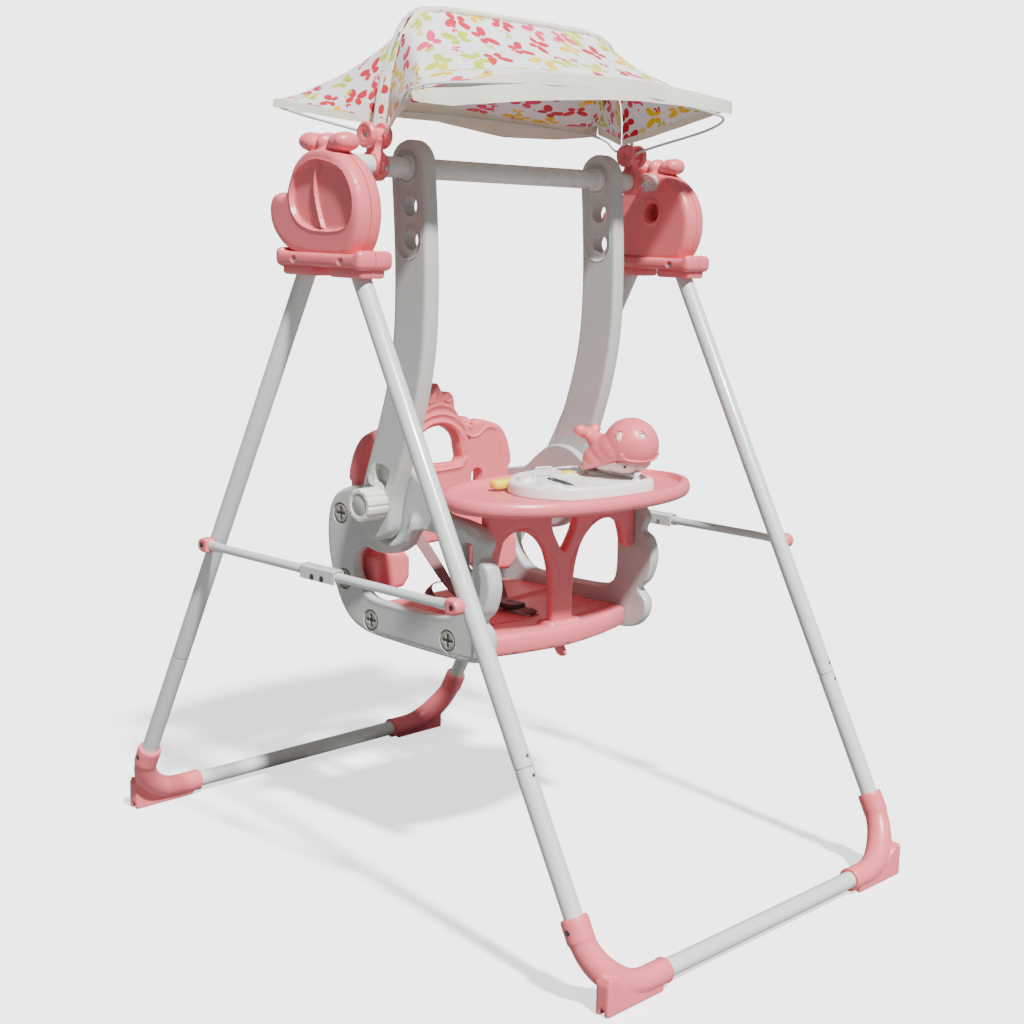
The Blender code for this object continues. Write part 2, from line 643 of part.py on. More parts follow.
# ---------------------------------------------------------------- seat side panels
PANEL = flowing([(0.150, 0.566), (0.176, 0.559), (0.196, 0.545), (0.208, 0.520), (0.211, 0.485),
                 (0.207, 0.452), (0.192, 0.405), (0.165, 0.366), (0.122, 0.346), (0.043, 0.341),
                 (-0.041, 0.340), (-0.095, 0.340), (-0.128, 0.347), (-0.147, 0.368),
                 (-0.145, 0.392), (-0.131, 0.406), (-0.148, 0.424), (-0.157, 0.458),
                 (-0.148, 0.489), (-0.135, 0.499), (-0.143, 0.520), (-0.127, 0.539),
                 (-0.095, 0.546), (-0.062, 0.549), (-0.041, 0.556), (-0.027, 0.574),
                 (-0.008, 0.592), (0.020, 0.609), (0.046, 0.614), (0.072, 0.609),
                 (0.100, 0.590), (0.124, 0.571)], 2)
WINDOW = flowing([(0.140, 0.466), (0.145, 0.446), (0.136, 0.424), (0.114, 0.405), (0.085, 0.400),
                  (0.020, 0.399), (-0.045, 0.401), (-0.070, 0.408), (-0.081, 0.426),
                  (-0.082, 0.470), (-0.080, 0.502), (-0.070, 0.515), (-0.035, 0.519),
                  (0.000, 0.519), (0.013, 0.508), (0.024, 0.492), (0.048, 0.479),
                  (0.087, 0.473), (0.118, 0.477)], 2)
SLOT = rounded([(-0.091, 0.477), (-0.091, 0.515), (-0.111, 0.515), (-0.111, 0.477)], 0.004, 3)


def side_panel(hand, side):
    panel = side_plate(f"{hand}_side_panel", GREY, [PANEL, WINDOW, SLOT], side, *PANEL_X)
    ride(SWING, smooth(panel))


for hand, side in SIDES:
    swing_arm(hand, side)
    side_panel(hand, side)


# ---------------------------------------------------------------- seat back and seat pan
def mirrored(half):
    """A closed outline from its right half, listed from the top middle to the bottom middle."""
    return half + [(-x, z) for x, z in half[::-1] if x > 0.0005]


BACK_HALF = flowing([(0.0, 0.710), (0.008, 0.698), (0.015, 0.692), (0.024, 0.696), (0.033, 0.688),
                     (0.037, 0.667), (0.052, 0.653), (0.064, 0.654), (0.075, 0.646),
                     (0.092, 0.648), (0.112, 0.644), (0.138, 0.634), (0.154, 0.612),
                     (0.1625, 0.585)], 2, closed=False)
BACK_HALF += [(0.1630, 0.573), (0.1585, 0.568), (0.1585, 0.402), (0.150, 0.398), (0.096, 0.398),
              (0.084, 0.410), (0.084, 0.448), (0.074, 0.457), (0.0, 0.457)]
BACK_WINDOW = mirrored(arc((0.0, 0.606), (0.047, 0.0373), 90, 0, 6) +
                       [(0.051, 0.590), (0.046, 0.582), (0.0, 0.582)])


def arch_hole(centre_x, half, low, spring):
    return [(centre_x - half, low), (centre_x + half, low)] + \
        arc((centre_x, spring), half, 0, 180, 6)


seat_back = outline_plate(
    "seat_back", PINK, [mirrored(BACK_HALF), BACK_WINDOW, arch_hole(0.084, 0.011, 0.546, 0.558),
                        arch_hole(-0.084, 0.011, 0.546, 0.558)], 0.155, 0.179, "Y")
PAN = [(0.1592, 0.165), (0.1592, -0.105)] + flowing([(0.140, -0.113), (0.080, -0.130),
      (0.0, -0.140), (-0.080, -0.130), (-0.140, -0.113)], 3, closed=False) + \
    [(-0.1592, -0.105), (-0.1592, 0.165)]
seat_pan = outline_plate("seat_pan", PINK, [PAN], *PAN_Z, "Z")
underside = rounded([(0.154, 0.155), (-0.154, 0.155), (-0.154, -0.098), (0.0, -0.126), (0.154, -0.098)],
                    0.02, 3)
cut(seat_pan, outline_plate("pan_underside", PINK, [underside], PAN_Z[0] - 0.01, PAN_Z[1] - 0.006, "Z"))
cut(seat_pan, box("crotch_slot", PINK, (-0.016, -0.063, 0.33), (0.016, -0.057, 0.40)))
STRAP_X, STRAP_Z = 0.055, 0.478
for hand, side in SIDES:
    cut(seat_back, box(f"{hand}_strap_slot", PINK, (side * STRAP_X - 0.015, 0.14, STRAP_Z - 0.003),
                       (side * STRAP_X + 0.015, 0.20, STRAP_Z + 0.003)))
ride(SWING, seat_back, seat_pan)

# ---------------------------------------------------------------- harness
REST_Z = PAN_Z[1] + 0.0013


def webbing(name, points, up, half_width=0.0125, thickness=0.0018):
    """A flat strap along points, facing as near to up as its path allows."""
    bm = bmesh.new()
    pairs = []
    for i, here in enumerate(points):
        along = Vector(points[min(i + 1, len(points) - 1)]) - Vector(points[max(i - 1, 0)])
        across = along.cross(Vector(up)).normalized() * half_width
        pairs.append((bm.verts.new(Vector(here) - across), bm.verts.new(Vector(here) + across)))
    for (a, b), (c, d) in zip(pairs, pairs[1:]):
        bm.faces.new((a, b, d, c))
    mesh = bpy.data.meshes.new(name)
    bm.to_mesh(mesh)
    bm.free()
    strap = bpy.data.objects.new(name, mesh)
    strap.data.materials.append(STRAP)
    PARTS.objects.link(strap)
    solid = strap.modifiers.new("thickness", "SOLIDIFY")
    solid.thickness = thickness
    solid.offset = 0.0
    return strap


lap = [(STRAP_X, 0.188, STRAP_Z), (STRAP_X, 0.150, STRAP_Z), (0.054, 0.132, STRAP_Z - 0.010),
       (0.050, 0.105, 0.435), (0.045, 0.078, 0.400), (0.036, 0.052, REST_Z + 0.0045),
       (0.021, 0.034, REST_Z + 0.001), (0.0, 0.0275, REST_Z)]
lap = flowing(lap, 3, closed=False)
waist = webbing("waist_strap", lap + [(-x, y, z) for x, y, z in lap[-2::-1]], (0, 0, 1))
crotch = [(0, -0.060, 0.340), (0, -0.060, REST_Z)]
crotch += [(0, -0.052 + y, REST_Z + z) for y, z in arc((0, 0), 0.008, 165, 15, 6)]
crotch += [(0, -0.0405, REST_Z + 0.0005), (0, -0.0305, REST_Z)]
buckle = outline_plate("harness_buckle", BUCKLE,
                       [rounded([(-0.0155, -0.030), (0.0155, -0.030), (0.0145, 0.0125),
                                 (-0.0145, 0.0125)], 0.006, 3)],
                       PAN_Z[1] + GAP, PAN_Z[1] + 0.012, "Z")
ride(SWING, waist, webbing("crotch_strap", crotch, (0, 0.5, 1)), buckle)


# ---------------------------------------------------------------- tray and its support
def superellipse(a, b, power, steps=48):
    points = []
    for i in range(steps):
        angle = 2 * math.pi * i / steps
        c, s = math.cos(angle), math.sin(angle)
        points.append((math.copysign(a * abs(c) ** (2 / power), c),
                       TRAY_Y + math.copysign(b * abs(s) ** (2 / power), s)))
    return points


TRAY_A, TRAY_B = 0.225, 0.130
TRAY_FLOOR = TRAY_Z[1] - 0.008
tray = outline_plate("tray", PINK, [superellipse(TRAY_A, TRAY_B, 2.1)], *TRAY_Z, "Z")
cut(tray, outline_plate("tray_recess", PINK, [superellipse(TRAY_A - 0.014, TRAY_B - 0.014, 2.1)],
                        TRAY_FLOOR, TRAY_Z[1] + 0.01, "Z"))
smooth(tray)

SUPPORT_Y = (-0.122, -0.106)
POST_HALF = 0.0215
SUPPORT_HALF = [(0.0, 0.5645), (0.1582, 0.5645), (0.1582, 0.478), (0.152, 0.472), (0.140, 0.474),
                (0.134, 0.482), (0.130, 0.498)]
SUPPORT_HALF += flowing([(0.124, 0.514), (0.105, 0.5235), (0.078, 0.522), (0.054, 0.509),
                         (0.037, 0.489), (0.027, 0.462), (0.0225, 0.432)], 2, closed=False)
SUPPORT_HALF += [(POST_HALF, 0.412), (POST_HALF, PAN_Z[1] + GAP), (0.0, PAN_Z[1] + GAP)]
FORK = mirrored([(0.0, 0.541), (0.022, 0.541), (0.027, 0.533), (0.022, 0.516), (0.009, 0.494),
                 (0.0, 0.487)])
support = outline_plate("tray_support", PINK, [mirrored(SUPPORT_HALF), FORK], *SUPPORT_Y, "Y")
ride(SWING, tray, support)

# ---------------------------------------------------------------- play console and whale toy
CONSOLE_Z = (TRAY_FLOOR + GAP, 0.5975)
CONSOLE = rounded([(0.085, -0.046), (0.110, -0.130), (0.108, -0.200), (0.078, -0.226),
                   (-0.078, -0.226), (-0.108, -0.200), (-0.110, -0.130), (-0.097, -0.098),
                   (-0.062, -0.068), (-0.026, -0.046)], 0.010, 3)
BUTTON = (0.015, -0.110)
SIDE_BUTTON_Y, SIDE_BUTTON_TIP = -0.078, -0.108
WHALE = Vector((0.060, -0.194, 0.6480))
FACING = Vector((-0.342, -0.940, 0.0))
AXLE = Vector((0.087, -0.996, 0.0)).normalized()
AXLE_CENTRE = Vector((0.0480, -0.1650, 0.6040))
JAW_Z = 0.6270

console = outline_plate("play_console", WHITE, [CONSOLE, circle(BUTTON, 0.0105, 16)],
                        *CONSOLE_Z, "Z")
for end in (-1, 1):
    foot = AXLE_CENTRE + AXLE * (0.0500 * end)
    join(console, rod("axle_post", WHITE, (foot.x, foot.y, CONSOLE_Z[1] - 0.006),
                      (foot.x, foot.y, AXLE_CENTRE.z + 0.0060), 0.0058, 12))
cut(console, rod("axle_hole", WHITE, AXLE_CENTRE - AXLE * 0.06, AXLE_CENTRE + AXLE * 0.06, 0.0031, 12))
cut(console, box("side_button_slot", WHITE, (-0.120, SIDE_BUTTON_Y - 0.0105, 0.5840),
                 (-0.050, SIDE_BUTTON_Y + 0.0105, 0.5940)))
axle = smooth(rod("whale_axle", CHROME, AXLE_CENTRE - AXLE * 0.0575, AXLE_CENTRE + AXLE * 0.0575,
                  0.0027, 12))

body = ball("whale_body", PINK, WHALE, (0.0405, 0.0430, 0.0400),
            Matrix.Rotation(math.atan2(FACING.y, FACING.x) - math.pi / 2, 4, "Z"), 24, 14)
cut(body, box("whale_body_base", PINK, (-0.08, -0.32, 0.55), (0.18, -0.04, JAW_Z)))
tail = [WHALE - AXLE * s + Vector((0, 0, h)) for s, h in
        ((0.028, -0.002), (0.046, -0.002), (0.060, 0.001), (0.070, 0.007))]
join(body, wire("whale_tail", PINK, flowing(tail, 3, closed=False), 0.0095, 2),
     ball("whale_flukes", PINK, tail[-1] + Vector((-0.008, 0, 0.006)), (0.022, 0.010, 0.009),
          Matrix.Rotation(math.radians(5), 4, "Z"), 16, 8))
belly = ball("whale_belly", WHITE, AXLE_CENTRE + Vector((0, 0, 0.0155)), (0.0300, 0.0380, 0.0200),
             Matrix.Rotation(math.radians(5), 4, "Z"), 20, 12)
cut(belly, box("whale_belly_top", WHITE, (-0.08, -0.32, JAW_Z - GAP), (0.18, -0.04, 0.72)),
    rod("whale_axle_hole", WHITE, AXLE_CENTRE - AXLE * 0.06, AXLE_CENTRE + AXLE * 0.06, 0.0030, 12))

push_button = smooth(rod("round_button", YELLOW, (*BUTTON, CONSOLE_Z[0] + 0.006),
                         (*BUTTON, 0.6035), 0.0101, 16))
side_button = box("side_button", YELLOW, (SIDE_BUTTON_TIP, SIDE_BUTTON_Y - 0.0100, 0.5845),
                  (-0.056, SIDE_BUTTON_Y + 0.0100, 0.5935))
loop = [(-0.049, -0.106, 0.5982), (-0.049, -0.106, 0.6095), (-0.046, -0.1065, 0.6120),
        (-0.023, -0.1103, 0.6120), (-0.020, -0.111, 0.6095), (-0.020, -0.111, 0.5982)]
rest_loop = wire("page_rest", WHITE, loop, 0.0014, 1)
ride(SWING, console, axle, rest_loop)
ride(pivot("whale_pivot", AXLE_CENTRE), body, belly)
ride(pivot("round_button_pivot", (*BUTTON, 0.6035)), push_button)
ride(pivot("side_button_pivot", (SIDE_BUTTON_TIP, SIDE_BUTTON_Y, 0.589)), side_button)
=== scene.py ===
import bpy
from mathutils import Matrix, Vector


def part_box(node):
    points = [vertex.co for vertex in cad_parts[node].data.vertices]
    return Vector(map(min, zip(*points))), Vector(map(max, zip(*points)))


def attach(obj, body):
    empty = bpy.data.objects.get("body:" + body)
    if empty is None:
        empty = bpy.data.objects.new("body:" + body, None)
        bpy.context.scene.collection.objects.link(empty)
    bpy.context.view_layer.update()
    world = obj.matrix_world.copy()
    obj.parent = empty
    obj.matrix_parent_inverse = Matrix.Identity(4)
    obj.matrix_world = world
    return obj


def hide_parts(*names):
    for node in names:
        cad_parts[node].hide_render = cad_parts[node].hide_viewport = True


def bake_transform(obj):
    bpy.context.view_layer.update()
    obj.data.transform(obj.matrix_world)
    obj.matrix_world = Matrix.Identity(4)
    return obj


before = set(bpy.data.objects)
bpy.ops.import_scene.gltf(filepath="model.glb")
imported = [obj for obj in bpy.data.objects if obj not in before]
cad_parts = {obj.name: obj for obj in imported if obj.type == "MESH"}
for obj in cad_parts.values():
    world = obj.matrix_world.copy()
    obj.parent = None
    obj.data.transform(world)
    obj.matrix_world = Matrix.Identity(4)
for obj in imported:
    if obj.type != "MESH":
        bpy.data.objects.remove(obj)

"""Looks of the folding baby swing: moulded pink and grey plastic, white tube, printed canopy.

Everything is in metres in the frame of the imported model: +Z up, front towards -Y.
"""

import math

import bmesh
import bpy
import numpy as np
from mathutils import Matrix, Vector, geometry, noise

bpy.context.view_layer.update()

SIDES = (("left", -1), ("right", 1))
ENDS = (("front", -1), ("rear", 1))


# ---------------------------------------------------------------- places from the frame
def middle(node):
    low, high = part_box(node)
    return (low + high) / 2


def size(node):
    low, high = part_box(node)
    return high - low


BAR_Z = middle("crossbar").z
BAR_R = size("crossbar").z / 2
BAR_END = size("crossbar").x / 2
LEG_X = middle("right_front_leg").x
TUBE_R = size("right_front_leg").x / 2
LEG_TILT = math.radians(28.0)
PIVOT_Y = -middle("left_front_leg_pin").y
PIVOT_Z = middle("left_front_leg_pin").z
RAIL_Z = 0.0217
BEND_R = 0.085
JOINT_T = 0.6955
STAY_X = middle("right_stay_hinge").x
STAY_Z = middle("left_stay_front_bracket").z
STAY_END_Y = 0.2692
HUB_Z = 1.070
ARM_IN, ARM_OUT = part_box("right_swing_arm")[0].x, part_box("right_swing_arm")[1].x
CAP_IN, CAP_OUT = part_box("right_hub_cap")[0].x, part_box("right_hub_cap")[1].x
PANEL_IN, PANEL_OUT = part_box("right_side_panel")[0].x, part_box("right_side_panel")[1].x
TRAY_LOW, TRAY_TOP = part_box("tray")[0].z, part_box("tray")[1].z
TRAY_Y = middle("tray").y
TRAY_FLOOR = TRAY_TOP - 0.008
PAN_LOW, PAN_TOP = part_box("seat_pan")[0].z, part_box("seat_pan")[1].z


# ---------------------------------------------------------------- materials
def new_material(name):
    mat = bpy.data.materials.new(name)
    mat.use_nodes = True
    return mat, mat.node_tree, mat.node_tree.nodes["Principled BSDF"]


def add(tree, kind, **properties):
    node = tree.nodes.new("ShaderNode" + kind)
    for key, value in properties.items():
        setattr(node, key, value)
    return node


def math_node(tree, operation, *terms):
    """A Math node fed by numbers or sockets; returns its output."""
    node = add(tree, "Math", operation=operation)
    for socket, term in zip(node.inputs, terms):
        if isinstance(term, (int, float)):
            socket.default_value = term
        else:
            tree.links.new(term, socket)
    return node.outputs[0]


def coordinates(tree, kind="Object"):
    return add(tree, "TexCoord").outputs[kind]


def noise_node(tree, scale, detail=3.0):
    node = add(tree, "TexNoise")
    set_inputs(node, {"Scale": scale, "Detail": detail})
    tree.links.new(coordinates(tree), node.inputs["Vector"])
    return node.outputs[0]


def ramp(tree, factor, stops, interpolation="LINEAR"):
    node = add(tree, "ValToRGB")
    node.color_ramp.interpolation = interpolation
    while len(node.color_ramp.elements) < len(stops):
        node.color_ramp.elements.new(0.5)
    for element, (place, color) in zip(node.color_ramp.elements, stops):
        element.position = place
        element.color = (*color, 1.0) if len(color) == 3 else color
    tree.links.new(factor, node.inputs[0])
    return node.outputs[0]


def split_xyz(tree, vector):
    node = add(tree, "SeparateXYZ")
    tree.links.new(vector, node.inputs[0])
    return node.outputs


def clamped(tree, value):
    node = add(tree, "Clamp")
    tree.links.new(value, node.inputs[0])
    return node.outputs[0]


def set_inputs(node, values):
    for name, value in values.items():
        node.inputs[name].default_value = value


def mix_color(tree, factor, a, b):
    node = add(tree, "Mix", data_type="RGBA")
    for socket, value in zip((node.inputs[0], node.inputs[6], node.inputs[7]), (factor, a, b)):
        if isinstance(value, (int, float)):
            socket.default_value = value
        elif isinstance(value, tuple):
            socket.default_value = (*value, 1.0)
        else:
            tree.links.new(value, socket)
    return node.outputs[2]


def bump(tree, shader, height, distance, strength, after=None):
    """A bump on the shader's normal, over an earlier bump if one is given."""
    node = add(tree, "Bump")
    set_inputs(node, {"Strength": strength, "Distance": distance})
    tree.links.new(height, node.inputs["Height"])
    if after is not None:
        tree.links.new(after, node.inputs["Normal"])
    tree.links.new(node.outputs[0], shader.inputs["Normal"])
    return node.outputs[0]


def shade(color, factor):
    return tuple(min(1.0, c * factor) for c in color)


def mottled(tree, cloud, dark, bright):
    """A colour that wanders between two shades with a noise."""
    return ramp(tree, cloud, [(0.3, dark), (0.7, bright)])


def uneven_gloss(tree, shader, cloud, spread, roughness):
    tree.links.new(math_node(tree, "MULTIPLY_ADD", cloud, spread, roughness - spread / 2),
                   shader.inputs["Roughness"])


def moulded_plastic(name, color, roughness, soft=0.0):
    """Moulded plastic: faint flow mottling, a fine grain and slightly uneven gloss."""
    mat, tree, shader = new_material(name)
    flow = mottled(tree, noise_node(tree, 9.0, 4.0), shade(color, 0.955), shade(color, 1.03))
    tree.links.new(flow, shader.inputs["Base Color"])
    uneven_gloss(tree, shader, noise_node(tree, 45.0), 0.16, roughness)
    broad = bump(tree, shader, noise_node(tree, 30.0, 1.0), 0.0004, 0.35)
    bump(tree, shader, noise_node(tree, 1400.0, 2.0), 0.00006, 0.6, broad)
    if soft:
        set_inputs(shader, {"Subsurface Weight": soft, "Subsurface Radius": (1.0, 0.5, 0.4),
                            "Subsurface Scale": 0.004})
    return mat


def painted_steel(name, color):
    """Gloss powder coat: a slight orange peel over a hard white."""
    mat, tree, shader = new_material(name)
    cloud = mottled(tree, noise_node(tree, 14.0), shade(color, 0.985), shade(color, 1.01))
    tree.links.new(cloud, shader.inputs["Base Color"])
    uneven_gloss(tree, shader, noise_node(tree, 60.0, 2.0), 0.12, 0.28)
    set_inputs(shader, {"Coat Weight": 0.35, "Coat Roughness": 0.12})
    bump(tree, shader, noise_node(tree, 650.0, 2.0), 0.00005, 0.5)
    return mat


def plated_metal(name, color, roughness):
    mat, tree, shader = new_material(name)
    shader.inputs["Metallic"].default_value = 1.0
    brushed = noise_node(tree, 380.0, 4.0)
    tree.links.new(mottled(tree, brushed, shade(color, 0.85), color), shader.inputs["Base Color"])
    uneven_gloss(tree, shader, brushed, 0.2, roughness)
    bump(tree, shader, noise_node(tree, 900.0, 2.0), 0.00003, 0.5)
    return mat


def weave(tree, shader, uv, pitch, depth):
    """A plain weave's bump: two crossed sets of rounded threads."""
    threads = split_xyz(tree, uv)
    waves = [math_node(tree, "SINE", math_node(tree, "MULTIPLY", threads[axis], 2 * math.pi / pitch))
             for axis in (0, 1)]
    product = math_node(tree, "MULTIPLY", *waves)
    slub = math_node(tree, "MULTIPLY", noise_node(tree, 260.0), 0.8)
    return bump(tree, shader, math_node(tree, "ADD", product, slub), depth, 0.7)


WINGS = (((0.27, 0.17), (0.29, 0.175), 38.0), ((0.20, -0.17), (0.185, 0.14), -35.0))


def scattered_cells(tree, place, cell, randomness=1.0):
    """Voronoi cells of one size: places in cell units, the cells, and three random numbers for each."""
    scaled = add(tree, "VectorMath", operation="SCALE")
    scaled.inputs["Scale"].default_value = 1.0 / cell
    tree.links.new(place, scaled.inputs[0])
    cells = add(tree, "TexVoronoi", voronoi_dimensions="2D")
    set_inputs(cells, {"Scale": 1.0, "Randomness": randomness})
    tree.links.new(scaled.outputs[0], cells.inputs["Vector"])
    chance = add(tree, "SeparateColor")
    tree.links.new(cells.outputs["Color"], chance.inputs[0])
    return scaled.outputs[0], cells.outputs, chance.outputs


def butterfly_layer(tree, uv, cell, shift, reach, present):
    """Scattered butterflies, one to a cell: their mask, and a random number for each.

    Each side of a butterfly is two leaning ellipses, given in WINGS as centre, halves and lean."""
    moved = add(tree, "VectorMath", operation="ADD")
    tree.links.new(uv, moved.inputs[0])
    moved.inputs[1].default_value = (*shift, 0.0)
    place, cells, chance = scattered_cells(tree, moved.outputs[0], cell, 0.55)
    local = add(tree, "VectorMath", operation="SUBTRACT")
    tree.links.new(place, local.inputs[0])
    tree.links.new(cells["Position"], local.inputs[1])
    turned = add(tree, "VectorRotate", rotation_type="Z_AXIS")
    tree.links.new(local.outputs[0], turned.inputs["Vector"])
    tree.links.new(math_node(tree, "MULTIPLY", chance[0], 6.28), turned.inputs["Angle"])
    sideways, lengthwise, _ = split_xyz(tree, turned.outputs[0])
    narrow = math_node(tree, "MULTIPLY_ADD", chance[2], 0.25 / reach, 0.88 / reach)
    across = math_node(tree, "MULTIPLY", math_node(tree, "ABSOLUTE", sideways), narrow)
    upward = math_node(tree, "MULTIPLY", lengthwise, 1.0 / reach)
    wings = []
    for (centre_x, centre_y), halves, lean in WINGS:
        cosine, sine = math.cos(math.radians(lean)), math.sin(math.radians(lean))
        squares = []
        for k_x, k_y, half in ((cosine, sine, halves[0]), (-sine, cosine, halves[1])):
            start = -(centre_x * k_x + centre_y * k_y) / half
            along = math_node(tree, "MULTIPLY_ADD", across, k_x / half, start)
            along = math_node(tree, "MULTIPLY_ADD", upward, k_y / half, along)
            squares.append(math_node(tree, "MULTIPLY", along, along))
        wings.append(math_node(tree, "SUBTRACT", 1.0, math_node(
            tree, "SQRT", math_node(tree, "ADD", *squares))))
    edge = math_node(tree, "MULTIPLY", math_node(tree, "MAXIMUM", *wings), 9.0)
    parting = math_node(tree, "MULTIPLY", math_node(tree, "SUBTRACT", across, 0.022), 60.0)
    mask = math_node(tree, "MINIMUM", edge, parting)
    here = math_node(tree, "LESS_THAN", chance[1], present)
    pick = math_node(tree, "FRACT", math_node(tree, "MULTIPLY", chance[0], 7.31))
    return clamped(tree, math_node(tree, "MULTIPLY", mask, here)), pick


def dot_layer(tree, uv, cell, radius, present):
    """Scattered dots: their mask, and a random number for each."""
    _, cells, chance = scattered_cells(tree, uv, cell)
    near = math_node(tree, "MULTIPLY", math_node(tree, "SUBTRACT", radius, cells["Distance"]), 40.0)
    here = math_node(tree, "LESS_THAN", chance[1], present)
    return clamped(tree, math_node(tree, "MULTIPLY", near, here)), chance[0]


PRINT_INKS = [(0.0, (0.62, 0.004, 0.030)), (0.26, (0.80, 0.04, 0.13)), (0.50, (0.88, 0.56, 0.002)),
              (0.78, (0.52, 0.62, 0.02))]


def printed_cloth(name):
    """White canopy cloth with a scattered butterfly print in red, pink, yellow and lime."""
    mat, tree, shader = new_material(name)
    uv = coordinates(tree, "UV")
    color = mottled(tree, noise_node(tree, 12.0, 4.0), (0.80, 0.80, 0.83), (0.90, 0.90, 0.91))
    for mask, pick in (butterfly_layer(tree, uv, 0.052, (0.0, 0.0), 0.86, 0.97),
                       butterfly_layer(tree, uv, 0.050, (0.31, 0.17), 0.34, 0.60),
                       dot_layer(tree, uv, 0.030, 0.085, 0.5)):
        color = mix_color(tree, mask, color, ramp(tree, pick, PRINT_INKS, "CONSTANT"))
    tree.links.new(color, shader.inputs["Base Color"])
    set_inputs(shader, {"Roughness": 0.82, "Sheen Weight": 0.15})
    weave(tree, shader, uv, 0.0013, 0.00016)
    return mat


def plain_cloth(name, color, pitch=0.0013, depth=0.0002, stripes=None):
    """One-colour cloth or webbing, with lengthwise stripes at a spacing if one is given."""
    mat, tree, shader = new_material(name)
    uv = coordinates(tree, "UV")
    tint = mottled(tree, noise_node(tree, 16.0, 4.0), shade(color, 0.93), shade(color, 1.03))
    if stripes:
        lines = math_node(tree, "SINE", math_node(tree, "MULTIPLY", split_xyz(tree, uv)[1],
                                                  2 * math.pi / stripes))
        tint = mix_color(tree, math_node(tree, "MULTIPLY_ADD", lines, 0.12, 0.12), tint,
                         shade(color, 0.55))
    tree.links.new(tint, shader.inputs["Base Color"])
    set_inputs(shader, {"Roughness": 0.85, "Sheen Weight": 0.2})
    weave(tree, shader, uv, pitch, depth)
    return mat


MATERIALS = {
    "pink_plastic": moulded_plastic("pink_plastic_look", (0.82, 0.165, 0.19), 0.33, soft=0.08),
    "light_grey_plastic": moulded_plastic("light_grey_plastic_look", (0.50, 0.52, 0.495), 0.40),
    "off_white_plastic": moulded_plastic("off_white_plastic_look", (0.80, 0.79, 0.72), 0.38),
    "white_painted_steel": painted_steel("white_painted_steel_look", (0.62, 0.675, 0.64)),
    "bright_steel": plated_metal("bright_steel_look", (0.66, 0.66, 0.66), 0.24),
    "yellow_plastic": moulded_plastic("yellow_plastic_look", (0.88, 0.70, 0.015), 0.35, soft=0.02),
    "white_plastic": moulded_plastic("white_plastic_look", (0.84, 0.84, 0.82), 0.34, soft=0.05),
    "brown_webbing": plain_cloth("brown_webbing_look", (0.25, 0.125, 0.13), 0.0022, 0.0004, 0.006),
    "dark_buckle_plastic": moulded_plastic("dark_buckle_look", (0.045, 0.04, 0.045), 0.42),
    "canopy_cloth": printed_cloth("canopy_cloth_look"),
}
TRIM = plain_cloth("canopy_trim_look", (0.86, 0.83, 0.68))
SCREW_GREY = moulded_plastic("screw_cap_look", (0.29, 0.28, 0.24), 0.45)
# Near-black for the small screw heads, pin heads, outer rivets and leg spigots; the same material also
# paints shade: the floor of the large screws' cross slots, the panel slot's shadow disc and the whale's
# belly hole.
DARK_AND_SHADE = moulded_plastic("dark_and_painted_shade_look", (0.035, 0.032, 0.035), 0.5)
DISC_GREY = moulded_plastic("knob_disc_look", (0.46, 0.46, 0.44), 0.45)
# Near-black plate for the console's slot: painted shade inside the slot.
SLOT_SHADE = moulded_plastic("slot_painted_shade_look", (0.015, 0.020, 0.035), 0.35)
BELLY = moulded_plastic("whale_belly_look", (0.74, 0.52, 0.50), 0.36, soft=0.05)
PUPIL = moulded_plastic("whale_pupil_look", (0.16, 0.155, 0.12), 0.36)
PINK, GREY, STEEL = "pink_plastic", "light_grey_plastic", "white_painted_steel"
WHITE, CHROME, YELLOW = "white_plastic", "bright_steel", "yellow_plastic"


# ---------------------------------------------------------------- making pieces
def piece(name, verts, faces, slot, body, nodes=(), mat=None, uv=None, sharp=40.0):
    """A mesh piece that rides on a body, faces outward, and stands for some CAD nodes."""
    mesh = bpy.data.meshes.new(name)
    mesh.from_pydata([tuple(map(float, v)) for v in verts], [], [tuple(map(int, f)) for f in faces])
    obj = bpy.data.objects.new(name, mesh)
    bpy.context.scene.collection.objects.link(obj)
    obj.data.materials.append(mat or MATERIALS[slot])
    if uv is not None:
        layer = mesh.uv_layers.new(name="UVMap")
        for loop in mesh.loops:
            layer.data[loop.index].uv = uv[loop.vertex_index]
    else:
        outward(mesh)
    mesh.shade_smooth()
    if sharp:
        mesh.set_sharp_from_angle(angle=math.radians(sharp))
    return settle(obj, body, nodes)


def settle(obj, body, nodes=()):
    """Give a piece its body (if it isn't blended) and the CAD nodes it stands for."""
    if body:
        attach(obj, body)
    if nodes:
        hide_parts(*([nodes] if isinstance(nodes, str) else nodes))
    return obj


def outward(mesh):
    """Join doubled points and turn every face outward."""
    bm = bmesh.new()
    bm.from_mesh(mesh)
    bmesh.ops.remove_doubles(bm, verts=bm.verts, dist=1e-6)
    bmesh.ops.recalc_face_normals(bm, faces=bm.faces)
    if bm.calc_volume(signed=True) < 0:
        bmesh.ops.reverse_faces(bm, faces=bm.faces)
    bm.to_mesh(mesh)
    bm.free()


def arc(centre, radius, start, stop, steps=8):
    """Points on a circle, or on an ellipse if radius is a pair, between two angles in degrees."""
    ru, rv = radius if isinstance(radius, tuple) else (radius, radius)
    angles = np.radians(np.linspace(start, stop, steps + 1))
    return [(centre[0] + ru * math.cos(a), centre[1] + rv * math.sin(a)) for a in angles]


def ring(count):
    """Angles at an even spacing, once round."""
    return np.linspace(0, 2 * math.pi, count, endpoint=False)


def oval(half_u, half_v, count):
    return [(half_u * math.cos(a), half_v * math.sin(a)) for a in ring(count)]


